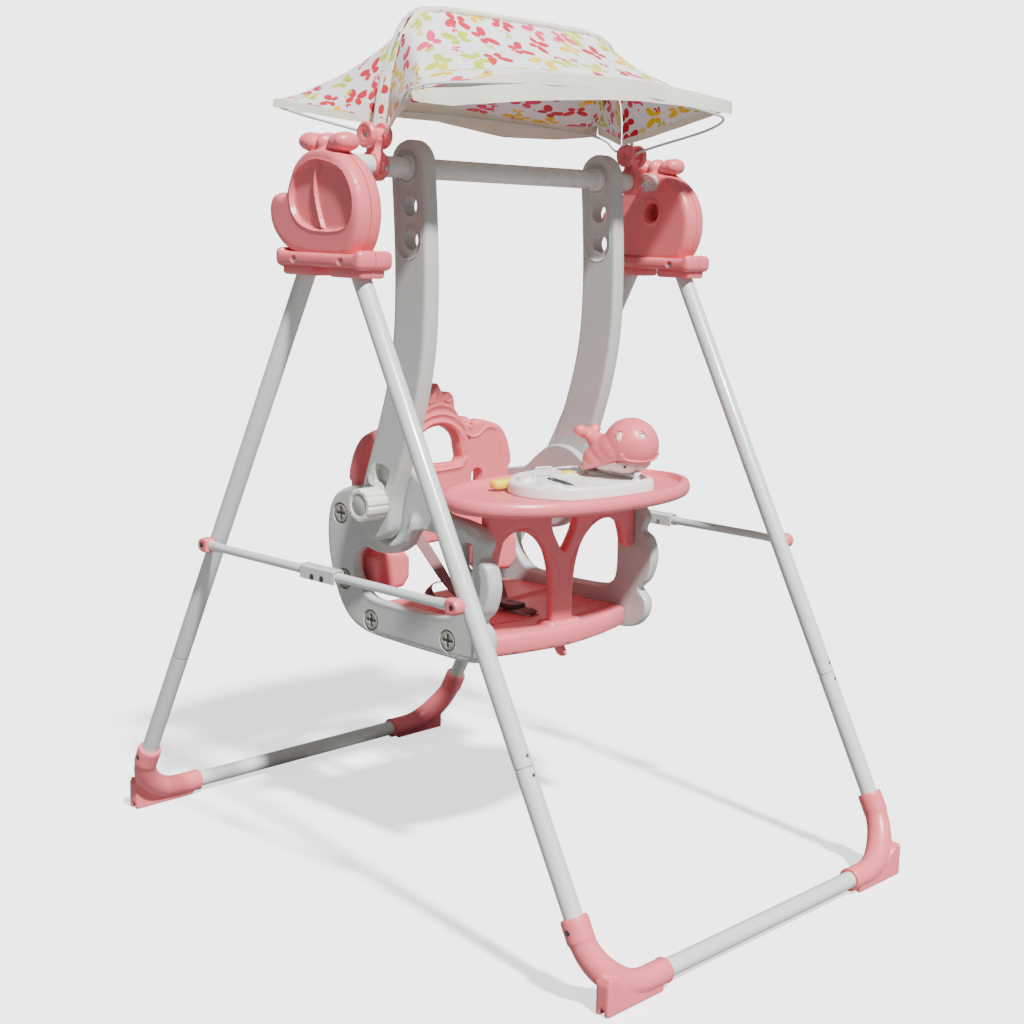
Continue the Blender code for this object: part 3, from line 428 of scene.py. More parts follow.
def tube_faces(rows, count):
    """Quads between neighbouring rings of count points, and a cap at each end."""
    faces = [(i * count + j, i * count + (j + 1) % count, (i + 1) * count + (j + 1) % count,
              (i + 1) * count + j) for i in range(rows - 1) for j in range(count)]
    last = (rows - 1) * count
    return faces + [tuple(range(count))[::-1], tuple(range(last, last + count))]


def circle(centre, radius, steps=36):
    return arc(centre, radius, 0, 360 - 360 / steps, steps - 1)


def flowing(points, per_span=6, closed=True):
    """A smooth curve through the points (Catmull-Rom), in 2D or 3D."""
    count = len(points)
    result = []
    for i in range(count if closed else count - 1):
        p = [np.array(points[(i + k) % count] if closed else points[min(max(i + k, 0), count - 1)])
             for k in (-1, 0, 1, 2)]
        for t in np.arange(per_span) / per_span:
            result.append(tuple(0.5 * (2 * p[1] + (p[2] - p[0]) * t
                                       + (2 * p[0] - 5 * p[1] + 4 * p[2] - p[3]) * t * t
                                       + (3 * p[1] - p[0] - 3 * p[2] + p[3]) * t ** 3)))
    if not closed:
        result.append(tuple(points[-1]))
    return result


def even(points, spacing, closed=True):
    """The same line with points at an even spacing."""
    line = np.array(points, float)
    if closed:
        line = np.vstack((line, line[:1]))
    along = np.concatenate(([0], np.cumsum(np.linalg.norm(np.diff(line, axis=0), axis=1))))
    count = max(3, int(round(along[-1] / spacing)))
    wanted = np.linspace(0, along[-1], count + 1)
    if closed:
        wanted = wanted[:-1]
    return np.column_stack([np.interp(wanted, along, line[:, k]) for k in range(line.shape[1])])


def shifted(line, amount, closed=True):
    """A line moved sideways, to the left of its direction."""
    line = np.asarray(line, float)
    if closed:
        ahead = np.roll(line, -1, 0) - np.roll(line, 1, 0)
    else:
        ahead = np.gradient(line, axis=0)
    ahead /= np.maximum(np.linalg.norm(ahead, axis=1, keepdims=True), 1e-12)
    return line + np.column_stack((-ahead[:, 1], ahead[:, 0])) * amount


def rounded(corners, radius, steps=5):
    """A closed outline with its corners rounded."""
    result = []
    for i, corner in enumerate(corners):
        here = Vector(corner)
        back = (Vector(corners[i - 1]) - here).normalized()
        ahead = (Vector(corners[(i + 1) % len(corners)]) - here).normalized()
        half = math.acos(max(-1.0, min(1.0, back.dot(ahead)))) / 2
        reach = min(radius / math.tan(half), (Vector(corners[i - 1]) - here).length / 2.01,
                    (Vector(corners[(i + 1) % len(corners)]) - here).length / 2.01)
        start, end = here + back * reach, here + ahead * reach
        for t in np.linspace(0, 1, steps + 1):
            result.append(tuple(start * (1 - t) ** 2 + here * 2 * t * (1 - t) + end * t * t))
    return result


def distance(P, line, closed=True):
    """How far each point is from a line."""
    A = np.asarray(line, float)
    B = np.roll(A, -1, 0)
    if not closed:
        A, B = A[:-1], B[:-1]
    AB = B - A
    best = np.full(len(P), 9.0)
    squared = np.maximum((AB * AB).sum(1), 1e-14)
    for a, ab, s in zip(A, AB, squared):
        AP = P - a
        t = np.clip((AP @ ab) / s, 0, 1)
        best = np.minimum(best, np.hypot(AP[:, 0] - t * ab[0], AP[:, 1] - t * ab[1]))
    return best


def inside(P, loop):
    """Whether each point is inside a loop."""
    A = np.asarray(loop, float)
    B = np.roll(A, -1, 0)
    result = np.zeros(len(P), bool)
    for (ax, ay), (bx, by) in zip(A, B):
        crosses = (ay > P[:, 1]) != (by > P[:, 1])
        at = ax + (P[:, 1] - ay) * (bx - ax) / (by - ay if by != ay else 1e-12)
        result ^= crosses & (P[:, 0] < at)
    return result


def ease(x):
    """A smooth step from 0 to 1."""
    x = np.clip(x, 0, 1)
    return x * x * (3 - 2 * x)


def ridge(line, width, height, closed=False):
    """A rounded rib (or, with a negative height, a groove) along a line."""
    line = even(line, 0.0035, closed)
    rows = [shifted(line, k * width, closed) for k in (-1.0, -0.5, 0.0, 0.5, 1.0)]
    return rows, lambda P: height * ease(1 - distance(P, line, closed) / width)


def region(loop, soft, height):
    """An area raised or sunk by a height, with a soft edge."""
    loop = even(loop, 0.0035)
    rows = [shifted(loop, k * soft) for k in (-1.0, 0.0, 1.0)]

    def raised(P):
        signed = distance(P, loop) * np.where(inside(P, loop), 1, -1)
        return height * ease(0.5 + signed / (2 * soft))
    return rows, raised


def dome(centre, radius, height):
    """A rounded swelling or dimple over a circle."""
    rows = [np.array(circle(centre, radius * k, 24)) for k in (0.3, 0.6, 0.85, 1.0)]
    return rows, lambda P: height * ease(
        1 - np.hypot(P[:, 0] - centre[0], P[:, 1] - centre[1]) / radius)


def thin_out(groups, gap):
    """Points in order of importance, without those nearer than gap to an earlier one."""
    taken, kept = {}, []
    for points, always in groups:
        for x, y in points:
            cell = (int(math.floor(x / gap)), int(math.floor(y / gap)))
            near = (q for i in (-1, 0, 1) for j in (-1, 0, 1)
                    for q in taken.get((cell[0] + i, cell[1] + j), ()))
            if always or all((x - q[0]) ** 2 + (y - q[1]) ** 2 > gap * gap for q in near):
                taken.setdefault(cell, []).append((x, y))
                kept.append((x, y))
    return np.array(kept)


def moulded(name, outline, face, back, place, slot, body, nodes=(), holes=(), edge=0.005,
            back_edge=None, hole_edge=None, front=(), rear=(), step=0.006, mat=None):
    """A moulded plate with rounded edges, from an outline, holes and raised or sunk features.

    face and back are its two faces' places across the plate; features are on the face (front)
    or the back (rear); place turns (u, v, w) into points."""
    back_edge = edge if back_edge is None else back_edge
    hole_edge = edge if hole_edge is None else hole_edge
    out = math.copysign(1.0, face - back)
    fine = min(step, 0.004)
    rim = even(outline, fine)
    loops = [even(hole, fine * 0.8) for hole in holes]
    area = lambda L: sum(a[0] * b[1] - b[0] * a[1] for a, b in zip(L, np.roll(L, -1, 0)))
    if area(rim) < 0:
        rim = rim[::-1]
    loops = [loop[::-1] if area(loop) > 0 else loop for loop in loops]
    everything = [rim, *loops]
    rows = []
    for radius, group in ((max(edge, back_edge), [rim]), (hole_edge, loops)):
        for turn in np.radians((22, 45, 67, 90)):
            rows += [shifted(loop, radius * (1 - math.cos(turn))) for loop in group]
    features = [row for group in (front, rear) for feature in group for row in feature[0]]
    low, high = rim.min(0), rim.max(0)
    us = np.arange(low[0], high[0], step)
    vs = np.arange(low[1], high[1], step * 0.866)
    grid = np.array([(u + (step / 2 if j % 2 else 0), v) for j, v in enumerate(vs) for u in us])

    def usable(points, margin):
        points = np.asarray(points, float)
        keep = inside(points, rim) & (distance(points, rim) > margin)
        for loop in loops:
            keep &= ~inside(points, loop) & (distance(points, loop) > margin)
        return points[keep]

    points = thin_out([(np.vstack(everything), True), (usable(np.vstack(rows), 0.0003), False),
                       *([(usable(np.vstack(features), 0.0004), False)] if features else []),
                       (usable(grid, step * 0.35), False)],
                      min(0.0011, edge * 0.28 + 0.0001))
    joins, start = [], 0
    for loop in everything:
        count = len(loop)
        joins += [(start + i, start + (i + 1) % count) for i in range(count)]
        start += count
    flat, _, triangles, *_ = geometry.delaunay_2d_cdt([Vector(p) for p in points], joins, [], 0, 1e-7)
    P = np.array([tuple(v) for v in flat])
    triangles = np.array([t for t in triangles if len(t) == 3])
    centres = P[triangles].mean(1)
    keep = inside(centres, rim)
    for loop in loops:
        keep &= ~inside(centres, loop)
    triangles = triangles[keep]
    to_rim = distance(P, rim)
    to_hole = np.full(len(P), 9.0)
    for loop in loops:
        to_hole = np.minimum(to_hole, distance(P, loop))

    def fall(d, radius):
        t = 1 - np.clip(d / max(radius, 1e-6), 0, 1)
        return radius * (1 - np.sqrt(np.maximum(1 - t * t, 0)))

    lift_front = sum((f[1](P) for f in front), np.zeros(len(P)))
    lift_rear = sum((f[1](P) for f in rear), np.zeros(len(P)))
    fade = ease(np.minimum(to_rim, to_hole) / 0.002)
    top = face - out * np.maximum(fall(to_rim, edge), fall(to_hole, hole_edge)) \
        + out * lift_front * fade
    low_w = back + out * np.maximum(fall(to_rim, back_edge), fall(to_hole, hole_edge)) \
        - out * lift_rear * fade
    count = len(P)
    verts = np.vstack((place(P[:, 0], P[:, 1], top), place(P[:, 0], P[:, 1], low_w)))
    faces = [tuple(t) for t in triangles] + [tuple(t[::-1] + count) for t in triangles]
    edges = dict.fromkeys((a, b) for t in triangles for a, b in zip(t, np.roll(t, -1)))
    faces += [(b, a, a + count, b + count) for a, b in edges if (b, a) not in edges]
    return piece(name, verts, faces, slot, body, nodes, mat)


# Three ways to place a plate's (u, v, w): across X on one side, across Y, and across Z.
def on_side(side):
    return lambda u, v, w: np.column_stack((side * (w + 0 * u), u, v))


def upright(u, v, w):
    return np.column_stack((u, w + 0 * u, v))


def level(u, v, w):
    return np.column_stack((u, v, w + 0 * u))


def frames(path, up=None):
    """Tangent, side and normal at each point of a path, turning as little as possible."""
    path = np.asarray(path, float)
    tangents = np.gradient(path, axis=0)
    tangents /= np.maximum(np.linalg.norm(tangents, axis=1, keepdims=True), 1e-12)
    sides = []
    side = None
    for t in tangents:
        if up is not None:
            side = np.cross(t, up)
        elif side is None:
            side = np.cross(t, (0.0, 0.0, 1.0) if abs(t[2]) < 0.9 else (0.0, 1.0, 0.0))
        side = side - t * side.dot(t)
        side = side / np.linalg.norm(side)
        sides.append(side)
    sides = np.array(sides)
    return path, tangents, sides, np.cross(sides, tangents)


def sweep(name, path, profile, slot, body, nodes=(), up=None, scale=None, mat=None, sharp=40.0,
          uv=False):
    """A profile of (side, normal) points carried along a path, with closed ends."""
    path, _, sides, normals = frames(path, up)
    profile = np.asarray(profile, float)
    scale = np.ones(len(path)) if scale is None else np.asarray(scale, float)
    count = len(profile)
    verts = np.vstack([p + k * (profile[:, :1] * s + profile[:, 1:] * n)
                       for p, k, s, n in zip(path, scale, sides, normals)])
    obj = piece(name, verts, tube_faces(len(path), count), slot, body, nodes, mat, sharp=sharp)
    if uv:
        along = np.concatenate(([0], np.cumsum(np.linalg.norm(np.diff(path, axis=0), axis=1))))
        layer = obj.data.uv_layers.new(name="UVMap")
        for loop in obj.data.loops:
            k = loop.vertex_index
            layer.data[loop.index].uv = (along[min(k // count, len(along) - 1)],
                                         float(profile[k % count][0]))
    return obj


def tube(name, path, radius, slot, body, nodes=(), segments=28, scale=None, mat=None):
    profile = np.column_stack((np.cos(ring(segments)), np.sin(ring(segments)))) * radius
    return sweep(name, path, profile, slot, body, nodes, scale=scale, mat=mat, sharp=50)


TURNED_SIDES = 48
AXIS_R = 0.0001     # where a lathe profile ends at its axis


def turned(name, profile, origin, axis, slot, body, nodes=(), mat=None):
    """A lathed piece: (radius, height) points along an axis from an origin."""
    turn = Vector(axis).normalized().to_track_quat("Z", "Y").to_matrix()
    verts = [Vector(origin) + turn @ Vector((r * math.cos(a), r * math.sin(a), h))
             for r, h in profile for a in ring(TURNED_SIDES)]
    return piece(name, verts, tube_faces(len(profile), TURNED_SIDES), slot, body, nodes, mat)


def plain_disc(radius, thick):
    return [(AXIS_R, 0), (radius, 0), (radius, thick), (AXIS_R, thick)]


def rounded_disc(radius, low, high, edge):
    """A lathe profile of a disc with rounded rims."""
    turns = np.radians(np.linspace(-90, 0, 5))
    bottom = [(radius - edge + edge * math.cos(a), low + edge + edge * math.sin(a)) for a in turns]
    top = [(r, high + low - h) for r, h in bottom[::-1]]
    return [(AXIS_R, low)] + bottom + top + [(AXIS_R, high)]


def sculpted(name, shapes, voxel, slot, body, nodes=(), smoothing=6, mat=None):
    """Overlapping shapes melted into one soft skin."""
    verts, faces, start = [], [], 0
    for shape_verts, shape_faces in shapes:
        verts += [tuple(v) for v in shape_verts]
        faces += [tuple(i + start for i in f) for f in shape_faces]
        start = len(verts)
    obj = piece(name, verts, faces, slot, None, (), mat, sharp=None)
    remesh = obj.modifiers.new("melt", "REMESH")
    remesh.mode = "VOXEL"
    remesh.voxel_size = voxel
    relax = obj.modifiers.new("relax", "SMOOTH")
    relax.factor = 0.5
    relax.iterations = smoothing
    depsgraph = bpy.context.evaluated_depsgraph_get()
    mesh = bpy.data.meshes.new_from_object(obj.evaluated_get(depsgraph))
    obj.modifiers.clear()
    obj.data = mesh
    mesh.shade_smooth()
    return settle(obj, body, nodes)


def ellipsoid(centre, radii, turn=None, segments=28):
    """Points and faces of an ellipsoid; sorted, because a new sphere's faces come in any order."""
    bm = bmesh.new()
    bmesh.ops.create_uvsphere(bm, u_segments=segments, v_segments=segments // 2, radius=1.0)
    matrix = Matrix.Translation(centre) @ (turn.to_4x4() if turn else Matrix.Identity(4)) \
        @ Matrix.Diagonal((*radii, 1.0))
    bm.transform(matrix)
    result = [tuple(v.co) for v in bm.verts], sorted([v.index for v in f.verts] for f in bm.faces)
    bm.free()
    return result


def rod_shape(path, radii, segments=20):
    """A tapering rod with round ends, for sculpted()."""
    path, _, sides, normals = frames(path)
    radii = np.broadcast_to(np.asarray(radii, float), (len(path),))
    verts = [p + r * (math.cos(a) * s + math.sin(a) * n)
             for p, r, s, n in zip(path, radii, sides, normals) for a in ring(segments)]
    return verts, tube_faces(len(path), segments)


def slab(outline, low, high, place):
    """A plain thick outline, for sculpted()."""
    count = len(outline)
    P = np.asarray(outline, float)
    verts = np.vstack((place(P[:, 0], P[:, 1], np.full(count, low)),
                       place(P[:, 0], P[:, 1], np.full(count, high))))
    faces = [tuple(range(count))[::-1], tuple(range(count, 2 * count))]
    faces += [(i, (i + 1) % count, (i + 1) % count + count, i + count) for i in range(count)]
    return [tuple(v) for v in verts], faces


def cross_screw(name, place, axis, radius, body, mat=None, proud=0.0015):
    """A round screw head with a cross slot; in a large head a dark plate on the slot's floor paints the
    slot's shade.
    """
    arm, cut_half, thin = radius * 0.62, radius * 0.10 * 2.2, radius * 0.13
    turn = Vector(axis).normalized().to_track_quat("Z", "Y").to_matrix()

    def put(u, v, w):
        return level(u, v, w) @ np.array(turn).T + np.array(place)

    cuts = [ridge(line, cut_half, -radius * 0.16)
            for line in ([(-arm, 0), (0, 0), (arm, 0)], [(0, -arm), (0, 0), (0, arm)])]
    # In a large head a dark cross-shaped plate lies on the slot's floor: painted shade in the slot.
    if radius > 0.008:
        plus = [(-thin, -arm), (thin, -arm), (thin, -thin)]
        for _ in range(3):
            plus += [(-v, u) for u, v in plus[-3:]]
        moulded(f"{name}_cross_shade", plus, proud - radius * 0.07, -0.001, put, CHROME, body,
                edge=0.0002, step=radius * 0.2, mat=DARK_AND_SHADE)
    return moulded(name, circle((0, 0), radius, 40), proud, -0.002, put, CHROME, body,
                   edge=radius * 0.18, front=cuts, step=radius * 0.2, mat=mat)


# ---------------------------------------------------------------- stage, light and camera
# The camera sees a paler floor (SEEN, GLOW) and backdrop than the ones that light the object
# (BOUNCE, AMBIENT), so that the object's shaded sides aren't washed out. Every view gets the same.
TO_KEY = (-0.17, -0.58, 0.79)
KEY, AMBIENT, BACKDROP = 9.0, 0.26, 3.90
FLOOR_SEEN, FLOOR_BOUNCE, FLOOR_GLOW = 0.94, 0.22, 1.5
FLOOR_HALF = 30


def build_stage():
    """A pale floor, an even studio world and one sun for the key light."""
    mesh = bpy.data.meshes.new("floor")
    corners = [(x * FLOOR_HALF, y * FLOOR_HALF, 0) for x, y in ((-1, -1), (1, -1), (1, 1), (-1, 1))]
    mesh.from_pydata(corners, [], [(0, 1, 2, 3)])
    floor = bpy.data.objects.new("floor", mesh)
    bpy.context.scene.collection.objects.link(floor)
    mat, tree, shader = new_material("pale_floor")
    seen = add(tree, "LightPath").outputs["Is Camera Ray"]
    tint = mottled(tree, noise_node(tree, 3.0, 2.0), (FLOOR_SEEN - 0.01,) * 3, (FLOOR_SEEN + 0.01,) * 3)
    tree.links.new(mix_color(tree, seen, (FLOOR_BOUNCE,) * 3, tint), shader.inputs["Base Color"])
    shader.inputs["Emission Color"].default_value = (1.0, 1.0, 1.0, 1.0)
    tree.links.new(math_node(tree, "MULTIPLY", seen, FLOOR_GLOW), shader.inputs["Emission Strength"])
    shader.inputs["Roughness"].default_value = 0.9
    mesh.materials.append(mat)
    world = bpy.data.worlds.new("studio")
    world.use_nodes = True
    tree = world.node_tree
    seen = add(tree, "LightPath").outputs["Is Camera Ray"]
    strength = math_node(tree, "MULTIPLY_ADD", seen, BACKDROP - AMBIENT, AMBIENT)
    tree.links.new(strength, tree.nodes["Background"].inputs[1])
    tree.nodes["Background"].inputs[0].default_value = (1.0, 1.0, 1.0, 1.0)
    bpy.context.scene.world = world
    data = bpy.data.lights.new("key", "SUN")
    data.energy = KEY
    data.angle = math.radians(4.0)
    lamp = bpy.data.objects.new("key", data)
    lamp.rotation_euler = Vector(TO_KEY).to_track_quat("Z", "Y").to_euler()
    bpy.context.scene.collection.objects.link(lamp)


def build_camera():
    """The reference view: from the left front, a little above the tray."""
    yaw, pitch, roll = (math.radians(a) for a in (49.29, -11.11, 1.88))
    ahead = Vector((math.sin(yaw) * math.cos(pitch), math.cos(yaw) * math.cos(pitch), math.sin(pitch)))
    right = Vector((math.cos(yaw), -math.sin(yaw), 0))
    above = right.cross(ahead)
    right, above = (right * math.cos(roll) + above * math.sin(roll),
                    above * math.cos(roll) - right * math.sin(roll))
    data = bpy.data.cameras.new("camera")
    data.lens = 57.97
    data.shift_x, data.shift_y = -0.1197, 0.0397
    camera = bpy.data.objects.new("camera", data)
    turn = Matrix((right, above, -ahead)).transposed().to_4x4()
    camera.matrix_world = Matrix.Translation((-1.7527, -1.7673, 0.9580)) @ turn
    bpy.context.scene.collection.objects.link(camera)
    bpy.context.scene.camera = camera


# ---------------------------------------------------------------- A-frame
def leg_point(fore, t, x):
    return Vector((x, fore * (PIVOT_Y + t * math.sin(LEG_TILT)), PIVOT_Z - t * math.cos(LEG_TILT)))


CORNER_T = (PIVOT_Z - RAIL_Z) / math.cos(LEG_TILT)
LEG_TOP_T = -0.032
JOINT_GAP = 0.0004
FOOT_OUTLINE = [(0.3345, 0.0008), (0.3345, 0.042), (0.330, 0.052), (0.316, 0.046), (0.300, 0.030),
                (0.275, 0.020), (0.250, 0.016), (0.232, 0.013), (0.2262, 0.008), (0.2262, 0.0008)]


def bend_path(fore, side, start_t, end_x, steps=18):
    """Down a leg from start_t, round the bend and along the rail to |x| = end_x."""
    path = [leg_point(fore, start_t, side * LEG_X)]
    for turn in np.linspace(0, math.pi / 2, steps + 1):
        path.append(leg_point(fore, CORNER_T - BEND_R + BEND_R * math.sin(turn),
                              side * (LEG_X - BEND_R + BEND_R * math.cos(turn))))
    return path + [leg_point(fore, CORNER_T, side * end_x)]


def build_legs():
    """Each base tube, its two upper legs with their joints and snap buttons, and its feet."""
    for label, fore in ENDS:
        body = f"{label}_legs"
        left, right = (bend_path(fore, side, JOINT_T + JOINT_GAP, 0.0)[:-1] for side in (-1, 1))
        tube(f"{label}_base_tube_skin", left + right[::-1], TUBE_R, STEEL, body, f"{label}_base_tube")
        for hand, side in SIDES:
            x = side * LEG_X
            start, end = LEG_TOP_T, JOINT_T - JOINT_GAP
            ts = [start, start + 0.002, end - 0.0025, end - 0.0008, end]
            tube(f"{hand}_{label}_leg_skin", [leg_point(fore, t, x) for t in ts], TUBE_R, STEEL, body,
                 f"{hand}_{label}_leg", scale=[0.93, 1, 1, 0.99, 0.95])
            tube(f"{hand}_{label}_spigot_skin", [leg_point(fore, JOINT_T - 0.01, x),
                 leg_point(fore, JOINT_T + 0.01, x)], TUBE_R - 0.0016, STEEL, body, mat=DARK_AND_SHADE)
            out = Vector((0, fore * math.cos(LEG_TILT), math.sin(LEG_TILT)))
            for t in (JOINT_T - 0.014, JOINT_T + 0.012) if label == "front" else (JOINT_T + 0.012,):
                spot = leg_point(fore, t, x) + out * (TUBE_R - 0.0004)
                turned(f"{hand}_{label}_snap_button_{'upper' if t < JOINT_T else 'lower'}",
                       rounded_disc(0.0028, -0.001, 0.0011, 0.0008), spot, out, CHROME, body)
            build_foot(hand, side, label, fore, body)


def build_foot(hand, side, label, fore, body):
    """Elbow sleeve over the bend, with a two-ribbed flange that stands on the floor."""
    start_t, end_x = CORNER_T - 0.105, LEG_X - 0.1195
    path = bend_path(fore, side, start_t, end_x)
    outline = [(side * x, z) for x, z in FOOT_OUTLINE]
    collar = [leg_point(fore, start_t + t, side * LEG_X) for t in (0.0, 0.010, 0.020, 0.030)]
    radii = TUBE_R + 0.0043 + 0.0022 * np.exp(-(np.linspace(-1.1, 1.2, len(path))) ** 2 / 0.3)
    web = [(x, max(z, 0.010)) for x, z in outline]
    ribs = [slab(shape, fore * near, fore * far, upright) for shape, near, far in
            ((outline, 0.5065, 0.5145), (outline, 0.5205, 0.5285), (web, 0.510, 0.525))]
    shapes = [rod_shape(path, radii, 28), rod_shape(collar, TUBE_R + 0.0058, 28), *ribs]
    sculpted(f"{hand}_{label}_foot_skin", shapes, 0.0018, PINK, body, f"{hand}_{label}_foot",
             smoothing=5)
    for tag, here, there in (("top", path[0], path[1]), ("inner", path[-1], path[-2])):
        along = (Vector(there) - Vector(here)).normalized()
        lip = [(TUBE_R + r, h) for r, h in ((0.0004, -0.0012), (0.0044, -0.0012), (0.0050, -0.0004),
                                            (0.0050, 0.0008), (0.0042, 0.0016), (0.0004, 0.0016))]
        turned(f"{hand}_{label}_foot_{tag}_lip", lip, here, along, PINK, body)
    spot = leg_point(fore, start_t + 0.014, side * LEG_X) + Vector((side * (TUBE_R + 0.0056), 0, 0))
    cross_screw(f"{hand}_{label}_foot_screw", spot, (side, 0, 0), 0.0040, body, DARK_AND_SHADE, 0.0005)


def build_crossbar():
    xs = [-BAR_END, -BAR_END + 0.001, BAR_END - 0.001, BAR_END]
    tube("crossbar_skin", [(x, 0, BAR_Z) for x in xs], BAR_R, STEEL, "frame", "crossbar",
         segments=36, scale=[0.95, 1, 1, 0.95])


# ---------------------------------------------------------------- top housings
BODY = flowing([(0.006, 1.049), (0.034, 1.044), (0.057, 1.027), (0.069, 1.005), (0.077, 0.988),
                (0.091, 0.991), (0.104, 0.986), (0.111, 0.970), (0.107, 0.948), (0.094, 0.931),
                (0.076, 0.918), (0.050, 0.910), (0.0, 0.907), (-0.050, 0.909), (-0.068, 0.924),
                (-0.078, 0.950), (-0.079, 0.978), (-0.070, 1.006), (-0.052, 1.028),
                (-0.026, 1.044)])
RECESS = flowing([(0.004, 1.033), (0.034, 1.026), (0.053, 1.010), (0.061, 0.988), (0.056, 0.967),
                  (0.041, 0.952), (0.015, 0.944), (-0.026, 0.943), (-0.051, 0.948),
                  (-0.064, 0.961), (-0.067, 0.983), (-0.058, 1.006), (-0.038, 1.024)])
RIB = flowing([(0.006, 1.031), (0.012, 1.012), (0.012, 0.990), (0.006, 0.968), (-0.003, 0.946)],
              closed=False)
BASE = flowing([(0.089, 0.907), (0.087, 0.917), (0.078, 0.9185), (0.070, 0.914), (0.0, 0.9135),
                (-0.070, 0.914), (-0.078, 0.9185), (-0.087, 0.917), (-0.089, 0.907),
                (-0.087, 0.896), (-0.078, 0.8925), (-0.070, 0.8945), (0.0, 0.895), (0.070, 0.8945),
                (0.078, 0.8925), (0.087, 0.896)])
SPLIT_X = 0.335
PIN_Y, PIN_Z = 0.0485, 0.9035
EYELET = (-0.002, 0.985)


def build_housings():
    """Each top housing: two shells split down the middle, a base bar, skirts, pin heads and a bow."""
    for hand, side in SIDES:
        place = on_side(side)
        inner_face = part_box("right_housing_inner")[0].x + 0.009
        outer_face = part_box("right_housing_outer")[1].x - 0.006
        window = circle(EYELET, (0.0135, 0.0145))
        rim = circle(EYELET, (0.0178, 0.0188))
        sunk = [region(RECESS, 0.0014, BAR_END + 0.0005 - outer_face), ridge(RECESS, 0.0036, 0.0016, True),
                ridge(RIB, 0.0026, 0.0050)]
        moulded(f"{hand}_housing_outer_skin", BODY, outer_face, SPLIT_X + 0.0002, place, PINK, "frame",
                f"{hand}_housing_outer", edge=0.0105, back_edge=0.0008, front=sunk, step=0.005)
        moulded(f"{hand}_housing_inner_skin", BODY, inner_face, SPLIT_X - 0.0002, place, PINK, "frame",
                f"{hand}_housing_inner", holes=[window], edge=0.0100, back_edge=0.0008,
                hole_edge=0.0022, front=[ridge(rim, 0.0040, 0.0024, True)], step=0.006)
        wells = [dome((fore * PIN_Y, PIN_Z), 0.0066, -0.0066) for _, fore in ENDS]
        for tag, face, split in (("outer", outer_face + 0.006, SPLIT_X + 0.0002),
                                 ("inner", inner_face - 0.009, SPLIT_X - 0.0002)):
            moulded(f"{hand}_housing_base_{tag}", BASE, face, split, place, PINK, "frame",
                    edge=0.0070, back_edge=0.0008, front=wells, step=0.005)
        for label, fore in ENDS:
            ys = sorted((fore * 0.016, fore * 0.0815))
            skirt = rounded([(ys[0], 0.8825), (ys[1], 0.8825), (ys[1], 0.8985), (ys[0], 0.8985)], 0.004)
            moulded(f"{hand}_{label}_skirt", skirt, outer_face - 0.0008, inner_face - 0.0015, place,
                    PINK, "frame", edge=0.0055, step=0.006)
            for tag, face, way in (("outer", outer_face + 0.0004, side),
                                   ("inner", inner_face - 0.0034, -side)):
                cross_screw(f"{hand}_{label}_{tag}_pin_head", (side * face, fore * PIN_Y, PIN_Z),
                            (way, 0, 0), 0.0038, "frame", DARK_AND_SHADE, 0.0004)
        build_housing_bow(hand, side)


def build_housing_bow(hand, side):
    """The bow moulded on top: two lobes and a knot, over the full depth of the housing."""
    x = side * SPLIT_X
    shapes = [ellipsoid((x, 0.006, 1.0560), (0.0200, 0.0115, 0.0135)),
              ellipsoid((x, 0.006, 1.0440), (0.0195, 0.0240, 0.0080))]
    for way in (-1, 1):
        turn = Matrix.Rotation(math.radians(10 * way), 3, "X")
        shapes.append(ellipsoid((x, 0.006 + way * 0.0275, 1.0560), (0.0205, 0.0190, 0.0135), turn))
        shapes.append(ellipsoid((x, 0.006 + way * 0.0360, 1.0575), (0.0200, 0.0125, 0.0128), turn))
    sculpted(f"{hand}_housing_bow", shapes, 0.0016, PINK, "frame", smoothing=5)


# ---------------------------------------------------------------- folding stays
CHANNEL = [(-0.0086, -0.0100), (-0.0086, 0.0072), (-0.0056, 0.0102), (0.0056, 0.0102),
           (0.0086, 0.0072), (0.0086, -0.0100), (0.0069, -0.0100), (0.0069, 0.0068),
           (0.0048, 0.0087), (-0.0048, 0.0087), (-0.0069, 0.0068), (-0.0069, -0.0100)]
STAY_STATIONS = [(0.0060, 0.0061, 0.0072), (0.0400, 0.0061, 0.0072), (0.0520, 0.0068, 0.0064),
                 (0.0620, 0.0064, 0.0064), (0.2280, 0.0064, 0.0064), (0.2420, 0.0056, 0.0076),
                 (0.2572, 0.0052, 0.0080)]


def build_stays():
    """A channel with two rivets between two bars, on each side."""
    for hand, side in SIDES:
        ys = np.concatenate(([-0.037, -0.0362], np.linspace(-0.035, 0.035, 8), [0.0362, 0.037]))
        k = np.concatenate(([0.96, 0.99], np.ones(8), [0.99, 0.96]))
        sweep(f"{hand}_stay_hinge_skin", [(side * STAY_X, y, STAY_Z) for y in ys], CHANNEL, STEEL,
              f"{hand}_stay_middle", f"{hand}_stay_hinge", up=(0, 0, 1), scale=k)
        for label, fore in ENDS:
            for way in (-1, 1):
                spot = (side * STAY_X + way * 0.0084, fore * 0.0105, STAY_Z - 0.005)
                turned(f"{hand}_{label}_rivet_{'out' if way == side else 'in'}",
                       [(0.0044, -0.0008), (0.0044, 0.0004), (0.0036, 0.0011), (0.0016, 0.0015),
                        (AXIS_R, 0.0015)], spot, (way, 0, 0), CHROME, f"{hand}_stay_middle",
                       mat=DARK_AND_SHADE if way == side else None)
            build_stay_bar(hand, side, label, fore)


